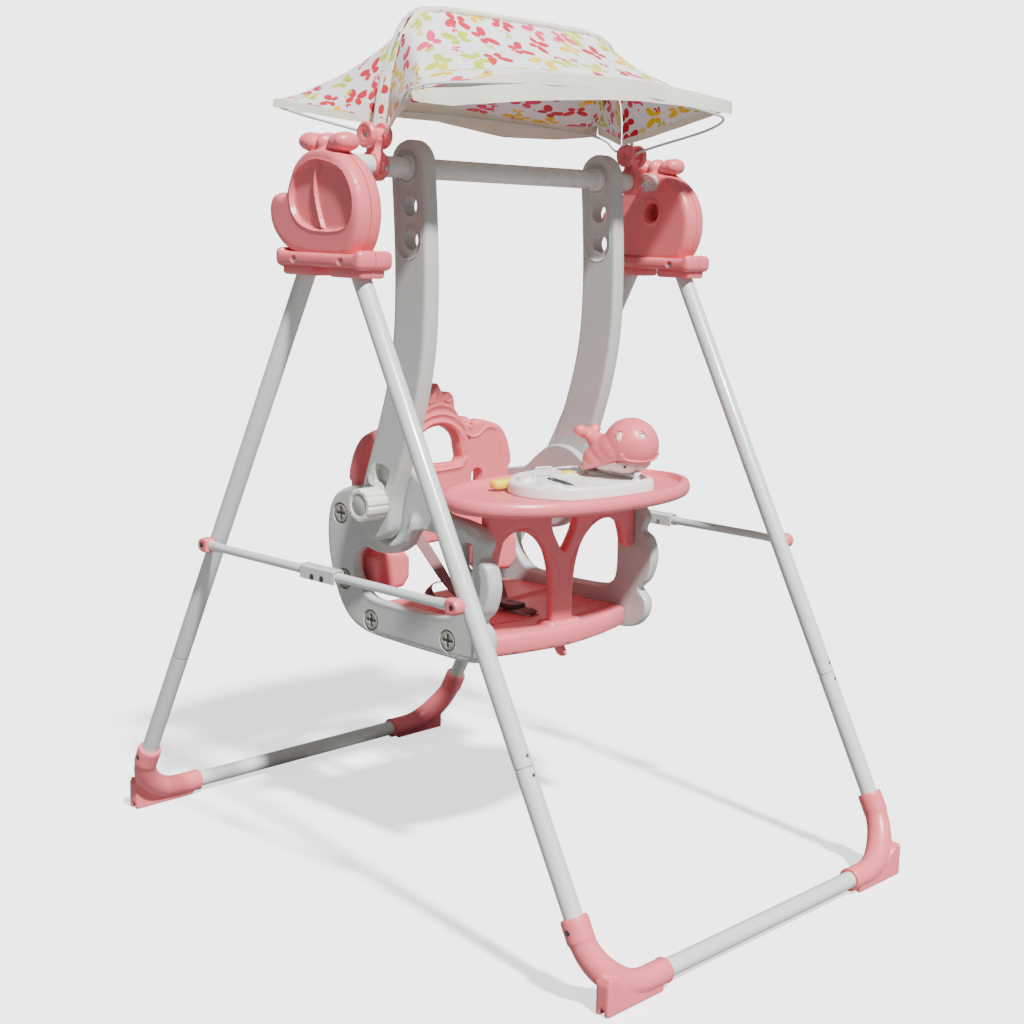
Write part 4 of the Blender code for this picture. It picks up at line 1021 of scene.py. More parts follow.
def build_stay_bar(hand, side, label, fore):
    """A round bar whose ends are pressed flat, and its moulded bracket at the leg."""
    body = f"{hand}_stay_{label}"
    verts = [(side * STAY_X + u, fore * y, STAY_Z + v)
             for y, half_x, half_z in STAY_STATIONS for u, v in oval(half_x, half_z, 24)]
    piece(f"{hand}_stay_{label}_bar_skin", verts, tube_faces(len(STAY_STATIONS), 24), STEEL, body,
          f"{hand}_stay_{label}_bar")
    end = [(STAY_END_Y - 0.0125, -0.0108), (STAY_END_Y - 0.0125, 0.0108)]
    end += arc((STAY_END_Y, 0.0), 0.0110, 90, -90, 14)
    outline = rounded([(fore * y, STAY_Z + z) for y, z in end], 0.0022, 3)
    moulded(f"{hand}_stay_{label}_bracket_skin", outline, STAY_X + 0.0089, STAY_X - 0.0087,
            on_side(side), PINK, body, f"{hand}_stay_{label}_bracket", edge=0.0034,
            front=[dome((fore * STAY_END_Y, STAY_Z), 0.0062, -0.0018)], step=0.003)
    cross_screw(f"{hand}_stay_{label}_screw", (side * (STAY_X + 0.0076), fore * STAY_END_Y, STAY_Z),
                (side, 0, 0), 0.0040, body, DARK_AND_SHADE, 0.0012)


# ---------------------------------------------------------------- canopy clamps and bows
CLAMP_IN, CLAMP_OUT = 0.2530, 0.2720


def build_clamps():
    """Each clamp's ring on the crossbar, its neck, and the hub's two discs, barrel and screws."""
    for hand, side in SIDES:
        node = f"{hand}_canopy_clamp"
        ring_x = [side * x for x in (CLAMP_IN, CLAMP_IN + 0.0012, CLAMP_OUT - 0.0012, CLAMP_OUT)]
        tube(f"{hand}_clamp_ring", [(x, 0, BAR_Z) for x in ring_x], 0.0203, PINK, "frame", node,
             segments=40, scale=[0.95, 1, 1, 0.95])
        neck = flowing([(-0.0125, 1.044), (-0.0100, 1.050), (-0.0098, 1.058), (-0.0125, 1.066),
                        (0.0125, 1.066), (0.0098, 1.058), (0.0100, 1.050), (0.0125, 1.044)], 4)
        moulded(f"{hand}_clamp_neck", neck, 0.2702, 0.2548, on_side(side), PINK, "frame", edge=0.0022,
                step=0.004)
        for tag, face, back, nodes in (("fixed_disc", 0.2445, CLAMP_IN, ()),
                                       ("hub_cap_disc", CAP_OUT, CAP_IN, f"{hand}_hub_cap")):
            faced = [dome((0, HUB_Z), 0.0075, -0.0045),
                     ridge(circle((0, HUB_Z), 0.0135), 0.0022, 0.0008, True)]
            moulded(f"{hand}_{tag}", circle((0, HUB_Z), 0.0178, 48), face, back, on_side(side), PINK,
                    "frame", nodes, edge=0.0022, front=faced, step=0.003)
        turned(f"{hand}_hub_screw", [(AXIS_R, 0), (0.0042, 0), (0.0042, 0.0014), (0.0034, 0.0022),
               (AXIS_R, 0.0022)], (side * (CAP_OUT - 0.0046), 0, HUB_Z), (side, 0, 0), CHROME, "frame")
        turned(f"{hand}_hub_barrel", plain_disc(0.0104, 0.0180), (side * 0.2532, 0, HUB_Z),
               (side, 0, 0), PINK, "frame")
        lug = rounded([(-0.0245, 1.034), (-0.0245, 1.020), (-0.012, 1.016), (-0.012, 1.040)], 0.004)
        moulded(f"{hand}_clamp_lug", lug, 0.2690, 0.2560, on_side(side), PINK, "frame", edge=0.0018,
                step=0.004)
        turned(f"{hand}_clamp_screw", [(0.0040, -0.001), (0.0040, 0.0018), (0.0030, 0.0028),
               (AXIS_R, 0.0028)], (side * 0.2628, -0.0243, 1.0265), (0, -1, 0), CHROME, "frame")


# ---------------------------------------------------------------- swing arms, bushes and knobs
ARM_HALF = 0.0345
ARM_LINE = flowing([(0.0, 1.034), (-0.006, 0.955), (-0.009, 0.875), (-0.006, 0.795), (0.007, 0.725),
                    (0.029, 0.655), (0.046, 0.610), (0.060, 0.570), (0.066, 0.533)], 4, closed=False)
ARM_HOLES = ((-0.006, 0.979), (-0.009, 0.933))
KNOB = (0.055, 0.556)


def arm_outline(half):
    """The arm's curved line widened to both sides, with a round end at each."""
    line = np.array(ARM_LINE)
    rear, front = shifted(line, half, False), shifted(line, -half, False)
    return np.vstack((rear, arc(line[-1], half, 0, -180, 16)[1:-1], front[::-1],
                      arc(line[0], half, 180, 0, 20)[1:-1]))


def scalloped(centre, radius, groove, steps=300):
    """A round outline with ten narrow grooves."""
    outline = []
    for a in ring(steps):
        r = radius - groove * math.exp(-(math.sin(5 * a) / 0.30) ** 2)
        outline.append((centre[0] + r * math.cos(a), centre[1] + r * math.sin(a)))
    return outline


def build_arms():
    """The swing arms, with their holes and pockets, and the knobs that clamp them."""
    stadium = arc((-0.0055, 0.9325), 0.0255, 180, 360, 14) + arc((0.000, 1.032), 0.0235, 0, 180, 12)
    pocket = rounded([(0.0325, 0.6064), (0.0480, 0.6120), (0.0619, 0.6123), (0.0656, 0.6025),
                      (0.0642, 0.5869), (0.0546, 0.5833), (0.0451, 0.5751), (0.0343, 0.5968)], 0.003)
    wedge = [(0.0676, 0.607), (0.0735, 0.595), (0.0725, 0.584), (0.0594, 0.5796)]
    collar = circle((0, BAR_Z), 0.0202)
    edge_line = even(arm_outline(ARM_HALF), 0.004)
    for hand, side in SIDES:
        top = [region(stadium, 0.0012, -0.0032), ridge(stadium, 0.0024, 0.0013, True),
               ridge(collar, 0.0024, 0.0022, True)]
        features = [*top, region(pocket, 0.0015, -0.0115), ridge(wedge, 0.0042, 0.0044)]
        bar = circle((0, BAR_Z), 0.0168)
        moulded(f"{hand}_swing_arm_skin", edge_line, ARM_OUT, ARM_IN, on_side(side), GREY, "seat",
                f"{hand}_swing_arm", holes=[bar, *[circle(h, 0.0145) for h in ARM_HOLES]],
                edge=0.0062, back_edge=0.0045, hole_edge=0.0022, front=features,
                rear=top, step=0.0055)
        moulded(f"{hand}_knob_skin", scalloped(KNOB, 0.0241, 0.0030), 0.2455, ARM_OUT + 0.0006,
                on_side(side), "off_white_plastic", f"{hand}_knob", f"{hand}_knob", edge=0.0016,
                step=0.0012, front=[region(circle(KNOB, 0.0168), 0.0007, -0.0022)])
        turned(f"{hand}_knob_disc", [(AXIS_R, 0), (0.0156, 0), (0.0156, 0.0010), (0.0148, 0.0016),
               (AXIS_R, 0.0016)], (side * 0.2428, *KNOB), (side, 0, 0), GREY, f"{hand}_knob",
               mat=DISC_GREY)


# ---------------------------------------------------------------- side panels
PANEL = flowing([(0.150, 0.566), (0.176, 0.559), (0.196, 0.545), (0.208, 0.520), (0.211, 0.485),
                 (0.207, 0.452), (0.192, 0.405), (0.165, 0.366), (0.122, 0.346), (0.043, 0.341),
                 (-0.041, 0.340), (-0.095, 0.340), (-0.128, 0.347), (-0.147, 0.368),
                 (-0.145, 0.392), (-0.131, 0.406), (-0.148, 0.424), (-0.157, 0.458),
                 (-0.148, 0.489), (-0.135, 0.499), (-0.143, 0.520), (-0.127, 0.539),
                 (-0.095, 0.546), (-0.062, 0.549), (-0.041, 0.556), (-0.027, 0.574),
                 (-0.008, 0.592), (0.020, 0.609), (0.046, 0.614), (0.072, 0.609),
                 (0.100, 0.590), (0.124, 0.571)])
WINDOW = flowing([(0.140, 0.466), (0.145, 0.446), (0.136, 0.424), (0.114, 0.405), (0.085, 0.400),
                  (0.020, 0.399), (-0.045, 0.401), (-0.070, 0.408), (-0.081, 0.426),
                  (-0.082, 0.470), (-0.080, 0.502), (-0.070, 0.515), (-0.035, 0.519),
                  (0.000, 0.519), (0.013, 0.508), (0.024, 0.492), (0.048, 0.479),
                  (0.087, 0.473), (0.118, 0.477)])
SLOT = rounded([(-0.091, 0.477), (-0.091, 0.515), (-0.111, 0.515), (-0.111, 0.477)], 0.004, 4)
BUMPER = flowing([(-0.136, 0.494), (-0.149, 0.484), (-0.1545, 0.458), (-0.146, 0.427),
                  (-0.131, 0.410), (-0.121, 0.420), (-0.128, 0.440), (-0.131, 0.462),
                  (-0.126, 0.486)])
LOWER_BUMPER = flowing([(-0.128, 0.404), (-0.141, 0.392), (-0.143, 0.372), (-0.130, 0.353),
                        (-0.118, 0.352), (-0.122, 0.372), (-0.122, 0.392)])
SCREWS = ((0.177, 0.521), (0.168, 0.421), (0.106, 0.367), (-0.063, 0.367))


def build_panels():
    """The side panels, with the cup round the knob, the scalloped front edge and the screws."""
    cup = arc((0.058, 0.542), 0.0515, -168, 38, 24)
    facet = [(-0.062, 0.536), (-0.098, 0.533), (-0.128, 0.522)]
    for hand, side in SIDES:
        place = on_side(side)
        features = [ridge(WINDOW, 0.0085, 0.0018, True), ridge(cup, 0.0135, 0.0085),
                    region(BUMPER, 0.0030, 0.0042), region(LOWER_BUMPER, 0.0030, 0.0036),
                    ridge(facet, 0.0085, 0.0034), ridge(SLOT, 0.0030, 0.0010, True),
                    ridge([(0.150, 0.352), (0.060, 0.349), (-0.060, 0.348), (-0.115, 0.350)], 0.0018,
                          -0.0008)]
        for screw in SCREWS:
            features.append(region(circle(screw, 0.0164), 0.0006, -0.0034))
        moulded(f"{hand}_side_panel_skin", PANEL, PANEL_OUT - 0.0004, PANEL_IN, place, GREY, "seat",
                f"{hand}_side_panel", holes=[WINDOW, SLOT], edge=0.0085, back_edge=0.0030,
                hole_edge=0.0058, front=features, step=0.0055)
        for i, (y, z) in enumerate(SCREWS):
            cross_screw(f"{hand}_panel_screw_{i + 1}", (side * (PANEL_OUT - 0.0019), y, z),
                        (side, 0, 0), 0.0148, "seat", SCREW_GREY)
        turned(f"{hand}_slot_shadow", plain_disc(0.0085, 0.0006), (side * 0.1592, -0.101, 0.486),
               (side, 0, 0), GREY, "seat", mat=DARK_AND_SHADE)


# ---------------------------------------------------------------- seat back and pan
def mirrored(half):
    """An outline from its right half, which starts and ends at x = 0."""
    return list(half) + [(-x, z) for x, z in list(half)[::-1] if x > 0.0005]


BACK_HALF = flowing([(0.0, 0.710), (0.008, 0.698), (0.015, 0.692), (0.024, 0.696), (0.033, 0.688),
                     (0.037, 0.667), (0.052, 0.653), (0.064, 0.654), (0.075, 0.646),
                     (0.092, 0.648), (0.112, 0.644), (0.138, 0.634), (0.154, 0.612),
                     (0.1625, 0.585)], 6, closed=False)
BACK_HALF += [(0.1630, 0.573), (0.1585, 0.566), (0.1585, 0.402), (0.150, 0.398), (0.096, 0.398),
              (0.084, 0.410), (0.084, 0.448), (0.074, 0.457), (0.0, 0.457)]
BACK_WINDOW = mirrored(arc((0.0, 0.606), (0.047, 0.0373), 90, 0, 12)
                       + [(0.051, 0.590), (0.046, 0.582), (0.0, 0.582)])


def arch_hole(centre_x, half, low, spring):
    """A hole with a flat foot and a round top."""
    return [(centre_x - half, low), (centre_x + half, low)] + arc((centre_x, spring), half, 0, 180, 10)


def build_back():
    """The seat back, with its window, strap slots, crown and curls, and the two lower blocks."""
    front_y, rear_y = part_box("seat_back")[0].y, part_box("seat_back")[1].y
    features = [ridge(arc((0, 0.600), (0.0570, 0.0500), 0, 180, 24), 0.0050, 0.0026),
                ridge(arc((0, 0.600), (0.0690, 0.0620), 22, 158, 20), 0.0052, 0.0026),
                ridge(arc((0, 0.610), (0.0600, 0.0660), 42, 138, 14), 0.0046, 0.0022),
                ridge([(-0.058, 0.588), (-0.050, 0.575), (0.0, 0.572), (0.050, 0.575),
                       (0.058, 0.588)], 0.0042, 0.0022)]
    for way in (-1, 1):
        curl = [(way * (0.067 + r * math.cos(a)), 0.6395 + r * math.sin(a)) for a, r in
                zip(np.radians(np.linspace(-200, 170, 22)) * way + (math.pi if way < 0 else 0),
                    np.linspace(0.0018, 0.0075, 22))]
        wave = flowing([(way * 0.058, 0.627), (way * 0.070, 0.6215), (way * 0.086, 0.6235),
                        (way * 0.098, 0.6315), (way * 0.112, 0.6350), (way * 0.124, 0.630)],
                       closed=False)
        crown = flowing([(way * 0.010, 0.684), (way * 0.020, 0.680), (way * 0.028, 0.6855)],
                        closed=False)
        seam = [(way * 0.1345, 0.604), (way * 0.1380, 0.585), (way * 0.1385, 0.540),
                (way * 0.1385, 0.480)]
        features += [ridge(curl, 0.0028, 0.0020), ridge(wave, 0.0030, 0.0018), ridge(crown, 0.0028, 0.0020),
                     ridge(seam, 0.0014, -0.0016), ridge([(way * 0.127, 0.598), (way * 0.1285, 0.54),
                                                          (way * 0.1285, 0.480)], 0.0012, -0.0009)]
    holes = [BACK_WINDOW, arch_hole(0.084, 0.011, 0.546, 0.558), arch_hole(-0.084, 0.011, 0.546, 0.558)]
    moulded("seat_back_skin", mirrored(BACK_HALF), front_y, rear_y, upright, PINK, "seat", "seat_back",
            holes=holes, edge=0.0060, back_edge=0.0050, hole_edge=0.0030, front=features, step=0.006)
    for hand, side in SIDES:
        block = rounded([(side * x, z) for x, z in ((0.1515, 0.456), (0.1360, 0.463), (0.0930, 0.461),
                        (0.0810, 0.449), (0.0810, 0.417), (0.0930, 0.4015), (0.1360, 0.399),
                        (0.1515, 0.412))], 0.006)
        moulded(f"{hand}_back_block", block, 0.126, 0.1556, upright, PINK, "seat", edge=0.0095,
                back_edge=0.001, step=0.006)


PAN = [(0.1588, 0.150), (0.1588, -0.105)] \
    + flowing([(0.140, -0.113), (0.080, -0.130), (0.0, -0.140), (-0.080, -0.130), (-0.140, -0.113)],
              6, closed=False) + [(-0.1588, -0.105), (-0.1588, 0.150)]


def build_pan():
    """The seat pan, with a raised rear, grooves, the post's pad, the front lip and the hook."""
    steps = [region(rounded([(-0.156, 0.148), (0.156, 0.148), (0.156, 0.046), (0.0, 0.030),
                             (-0.156, 0.046)], 0.02), 0.0035, 0.0052),
             ridge(flowing([(-0.150, -0.082), (-0.080, -0.098), (0.0, -0.105), (0.080, -0.098),
                            (0.150, -0.082)], closed=False), 0.0036, -0.0022),
             *[ridge(flowing([(way * 0.150, -0.048), (way * 0.075, -0.062), (way * 0.030, -0.066)],
                             closed=False), 0.0034, -0.0018) for way in (-1, 1)],
             region(rounded([(-0.032, -0.130), (0.032, -0.130), (0.032, -0.096), (-0.032, -0.096)],
                            0.006), 0.0020, 0.0055)]
    moulded("seat_pan_skin", PAN, PAN_TOP - 0.0003, PAN_LOW, level, PINK, "seat", "seat_pan",
            edge=0.0075, back_edge=0.0050, front=steps, step=0.007)
    lip = flowing([(-0.150, -0.100), (-0.080, -0.118), (0.0, -0.1275), (0.080, -0.118),
                   (0.150, -0.100)], closed=False)
    sweep("seat_front_lip", [(x, y, PAN_LOW + 0.004) for x, y in even(lip, 0.01, False)],
          oval(0.004, 0.008, 20), PINK, "seat", up=(0, 0, 1))
    hook = flowing([(0.0, -0.112, 0.350), (0.0, -0.114, 0.338), (0.0, -0.120, 0.333),
                    (0.0, -0.127, 0.336)], 5, closed=False)
    sweep("seat_front_hook", hook, oval(0.009, 0.003, 16), PINK, "seat", up=(1, 0, 0))


# ---------------------------------------------------------------- harness
STRAP_PROFILE = [(-0.0124, -0.0008), (-0.0120, 0.0009), (-0.0060, 0.0011), (0.0060, 0.0011),
                 (0.0120, 0.0009), (0.0124, -0.0008), (0.0060, -0.0010), (-0.0060, -0.0010)]


def strap(name, knots, up, nodes=(), width=1.0):
    """Webbing laid along a smooth line through the knots."""
    path = even(flowing(knots, 8, closed=False), 0.004, False)
    profile = [(u * width, v) for u, v in STRAP_PROFILE]
    return sweep(name, path, profile, "brown_webbing", "seat", nodes, up=up, uv=True, sharp=60)


def build_harness():
    """The waist and crotch straps, the buckle and its two slides."""
    top = PAN_TOP + 0.0062
    for hand, side in SIDES:
        knots = [(side * 0.055, 0.180, 0.478), (side * 0.055, 0.152, 0.478), (side * 0.0552, 0.135, 0.470),
                 (side * 0.053, 0.105, 0.441), (side * 0.049, 0.080, 0.413), (side * 0.041, 0.060, 0.392),
                 (side * 0.028, 0.040, top - 0.002), (side * 0.010, 0.022, top - 0.0035)]
        strap(f"{hand}_waist_strap_skin", knots, (0, 0, 1), "waist_strap" if side < 0 else ())
        loop = [(side * 0.049, 0.082, 0.4125), (side * 0.060, 0.098, 0.408), (side * 0.070, 0.098, 0.396),
                (side * 0.068, 0.082, 0.3875), (side * 0.054, 0.066, 0.3875), (side * 0.042, 0.056, 0.3915)]
        strap(f"{hand}_waist_strap_loop", loop, (0, 0.3, 1), width=0.55)
    strap("crotch_strap_skin", [(0, -0.060, PAN_TOP - 0.012), (0, -0.060, PAN_TOP), (0, -0.055, top - 0.001),
          (0, -0.043, top), (0, -0.026, top - 0.001)], (0, 0.5, 1), "crotch_strap")
    shell = rounded([(-0.0150, -0.029), (-0.0150, 0.006), (-0.0090, 0.012), (0.0090, 0.012),
                     (0.0150, 0.006), (0.0150, -0.029), (0.0095, -0.033), (-0.0095, -0.033)], 0.004)
    moulded("harness_buckle_skin", shell, PAN_TOP + 0.0130, PAN_TOP + 0.0046, level,
            "dark_buckle_plastic", "seat", "harness_buckle", edge=0.0028, step=0.003,
            front=[region(circle((0, -0.010), 0.0062), 0.0010, -0.0014),
                   ridge([(-0.009, -0.024), (0, -0.025), (0.009, -0.024)], 0.0016, -0.0010)])
    for i, x in enumerate((-0.0165, 0.0165)):
        slide = rounded([(x - 0.004, -0.004), (x + 0.004, -0.004), (x + 0.004, 0.020),
                         (x - 0.004, 0.020)], 0.0025)
        moulded(f"harness_slide_{i + 1}", slide, PAN_TOP + 0.0115, PAN_TOP + 0.0050, level,
                "dark_buckle_plastic", "seat", edge=0.0015, step=0.003)


# ---------------------------------------------------------------- tray and support
TRAY_A, TRAY_B = size("tray").x / 2, size("tray").y / 2


def superellipse(a, b, power=2.1, steps=144):
    """The tray's outline: a slightly squared ellipse about the tray's middle."""
    points = []
    for angle in ring(steps):
        c, s = math.cos(angle), math.sin(angle)
        points.append((math.copysign(a * abs(c) ** (2 / power), c),
                       TRAY_Y + math.copysign(b * abs(s) ** (2 / power), s)))
    return points


SUPPORT_HALF = [(0.0, 0.5645), (0.1582, 0.5645), (0.1582, 0.478), (0.152, 0.472), (0.140, 0.474),
                (0.134, 0.482), (0.130, 0.498)]
SUPPORT_HALF += flowing([(0.124, 0.514), (0.105, 0.5235), (0.078, 0.522), (0.054, 0.509),
                         (0.037, 0.489), (0.027, 0.462), (0.0225, 0.432)], 5, closed=False)
SUPPORT_HALF += [(0.0215, 0.412), (0.0215, 0.3765), (0.0, 0.3765)]
FORK = mirrored([(0.0, 0.541), (0.020, 0.541), (0.0265, 0.5375), (0.0265, 0.530), (0.022, 0.516),
                 (0.010, 0.496), (0.003, 0.4875), (0.0, 0.487)])


def build_tray():
    """The tray with its sunk floor, and its support with the fork between the arches."""
    inner = superellipse(TRAY_A - 0.0155, TRAY_B - 0.0155)
    lip = superellipse(TRAY_A - 0.0225, TRAY_B - 0.0225)
    moulded("tray_skin", superellipse(TRAY_A, TRAY_B), TRAY_TOP, TRAY_LOW, level, PINK, "seat", "tray",
            edge=0.0088, back_edge=0.0080, step=0.009,
            front=[region(inner, 0.0022, -0.0080), ridge(lip, 0.0018, 0.0012, True)],
            rear=[ridge(superellipse(TRAY_A - 0.030, TRAY_B - 0.030), 0.004, 0.0030, True)])
    grooves = []
    for way in (-1, 1):
        line = flowing([(way * 0.118, 0.5255), (way * 0.092, 0.5300), (way * 0.060, 0.5200),
                        (way * 0.0165, 0.470), (way * 0.012, 0.432)], closed=False)
        grooves.append(ridge(even(line, 0.004, False), 0.0030, -0.0014))
    moulded("tray_support_skin", mirrored(SUPPORT_HALF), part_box("tray_support")[0].y,
            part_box("tray_support")[1].y, upright, PINK, "seat", "tray_support", holes=[FORK],
            edge=0.0048, back_edge=0.0048, hole_edge=0.0040, front=grooves, step=0.006)


# ---------------------------------------------------------------- play console
CONSOLE_LOW, CONSOLE_TOP = TRAY_FLOOR + 0.0004, 0.5975
BUTTON = tuple(middle("round_button").xy)
AXLE = Vector((0.087, -0.996, 0.0)).normalized()
AXLE_CENTRE = middle("whale_axle")
WHALE = Vector((0.060, -0.194, 0.6480))


def build_console():
    """The white console on the tray, with its pads, slot, axle posts, buttons and wire loop."""
    edge = flowing([(0.085, -0.047), (0.104, -0.090), (0.1095, -0.140), (0.105, -0.190), (0.084, -0.219),
                    (0.040, -0.2255), (-0.020, -0.2235), (-0.064, -0.211), (-0.095, -0.182),
                    (-0.108, -0.142), (-0.097, -0.100), (-0.062, -0.069), (-0.026, -0.049),
                    (0.030, -0.0455)])
    slot = flowing([(-0.0310, -0.1118), (-0.0225, -0.1126), (-0.0265, -0.130), (-0.0318, -0.1492),
                    (-0.0420, -0.170), (-0.0529, -0.1890), (-0.0597, -0.1765), (-0.0530, -0.153),
                    (-0.0443, -0.129)])
    cloud = flowing([(-0.090, -0.118), (-0.084, -0.102), (-0.070, -0.094), (-0.060, -0.100),
                     (-0.060, -0.112), (-0.070, -0.124), (-0.082, -0.128)])
    cloud_low = flowing([(-0.094, -0.158), (-0.082, -0.146), (-0.070, -0.150), (-0.068, -0.170),
                         (-0.076, -0.190), (-0.088, -0.188), (-0.094, -0.174)])
    pad = flowing([(BUTTON[0] + 0.021 * math.cos(a) * (1 + 0.12 * math.cos(3 * a)),
                    BUTTON[1] + 0.019 * math.sin(a)) for a in np.linspace(0, 5.7, 12)])
    features = [region(slot, 0.0008, -0.0020), region(cloud, 0.0016, 0.0058),
                region(cloud_low, 0.0016, 0.0034),
                ridge(shifted(even(cloud, 0.003), -0.0030), 0.0014, -0.0014, True),
                ridge(shifted(even(cloud_low, 0.003), -0.0030), 0.0014, -0.0014, True),
                region(pad, 0.0030, 0.0016), ridge(circle(BUTTON, 0.0130), 0.0016, 0.0010, True),
                ridge(shifted(even(edge, 0.004), -0.0105), 0.0016, -0.0012, True),
                ridge(flowing([(-0.034, -0.196), (-0.012, -0.182), (0.002, -0.190), (0.006, -0.208)],
                              closed=False), 0.0030, 0.0012)]
    moulded("play_console_skin", edge, CONSOLE_TOP, CONSOLE_LOW, level, WHITE, "seat", "play_console",
            holes=[circle(BUTTON, 0.0106)], edge=0.0052, back_edge=0.0006, hole_edge=0.0010,
            front=features, step=0.0045)
    # A dark plate just under the slot's top paints the shade inside the slot.
    moulded("console_slot_insert", slot, CONSOLE_TOP - 0.0004, CONSOLE_TOP - 0.0030, level, WHITE,
            "seat", edge=0.0004, step=0.004, mat=SLOT_SHADE)
    for tag, end in (("front", 1), ("rear", -1)):
        foot = AXLE_CENTRE + AXLE * (0.0500 * end)
        turned(f"axle_post_{tag}", [(AXIS_R, -0.002), (0.0090, -0.002), (0.0080, 0.0010), (0.0060, 0.0028),
               (0.0054, 0.0108), (0.0046, 0.0122), (AXIS_R, 0.0124)],
               (foot.x, foot.y, CONSOLE_TOP), (0, 0, 1), WHITE, "seat")
        tip = AXLE_CENTRE + AXLE * (0.0556 * end)
        turned(f"axle_cap_{tag}", [(AXIS_R, 0), (0.0042, 0), (0.0042, 0.0014), (0.0030, 0.0024),
               (AXIS_R, 0.0026)], tip, AXLE * end, CHROME, "seat")
    turned("round_button_skin", [(AXIS_R, 0.586), (0.0101, 0.586), (0.0101, 0.6000), (0.0095, 0.6016),
           (0.0075, 0.6028), (0.0040, 0.6034), (AXIS_R, 0.6036)], (*BUTTON, 0), (0, 0, 1), YELLOW,
           "round_button", "round_button")
    side = rounded([(-0.1078, -0.0850), (-0.1078, -0.0710), (-0.0990, -0.0680), (-0.0562, -0.0682),
                    (-0.0562, -0.0878), (-0.0990, -0.0880)], 0.0045)
    moulded("side_button_skin", side, 0.5962, 0.5835, level, YELLOW, "side_button", "side_button",
            edge=0.0050, back_edge=0.0030, step=0.003)
    loop = [(-0.0490, -0.1060, 0.5960), (-0.0490, -0.1060, 0.6080), (-0.0480, -0.1062, 0.6108),
            (-0.0455, -0.1066, 0.6120), (-0.0235, -0.1104, 0.6120), (-0.0210, -0.1108, 0.6108),
            (-0.0200, -0.1110, 0.6080), (-0.0200, -0.1110, 0.5960)]
    tube("page_rest_skin", flowing(loop, 5, closed=False), 0.0014, WHITE, "seat", "page_rest",
         segments=14)


# ---------------------------------------------------------------- whale toy
def on_head(azimuth, elevation, out=0.0, radii=(0.0405, 0.0425, 0.0398)):
    """A point on the whale's head, and the way its surface faces there."""
    a, e = math.radians(azimuth), math.radians(elevation)
    way = Vector((math.cos(e) * math.cos(a), math.cos(e) * math.sin(a), math.sin(e)))
    point = WHALE + Vector((way.x * radii[0], way.y * radii[1], way.z * radii[2]))
    normal = Vector((way.x / radii[0], way.y / radii[1], way.z / radii[2])).normalized()
    return point + normal * out, normal


def jaw_line(y):
    """How high the pink body ends and the pale belly starts: level under the head, falling behind it."""
    return float(np.interp(y, (-0.203, -0.125), (0.6268, 0.6030)))


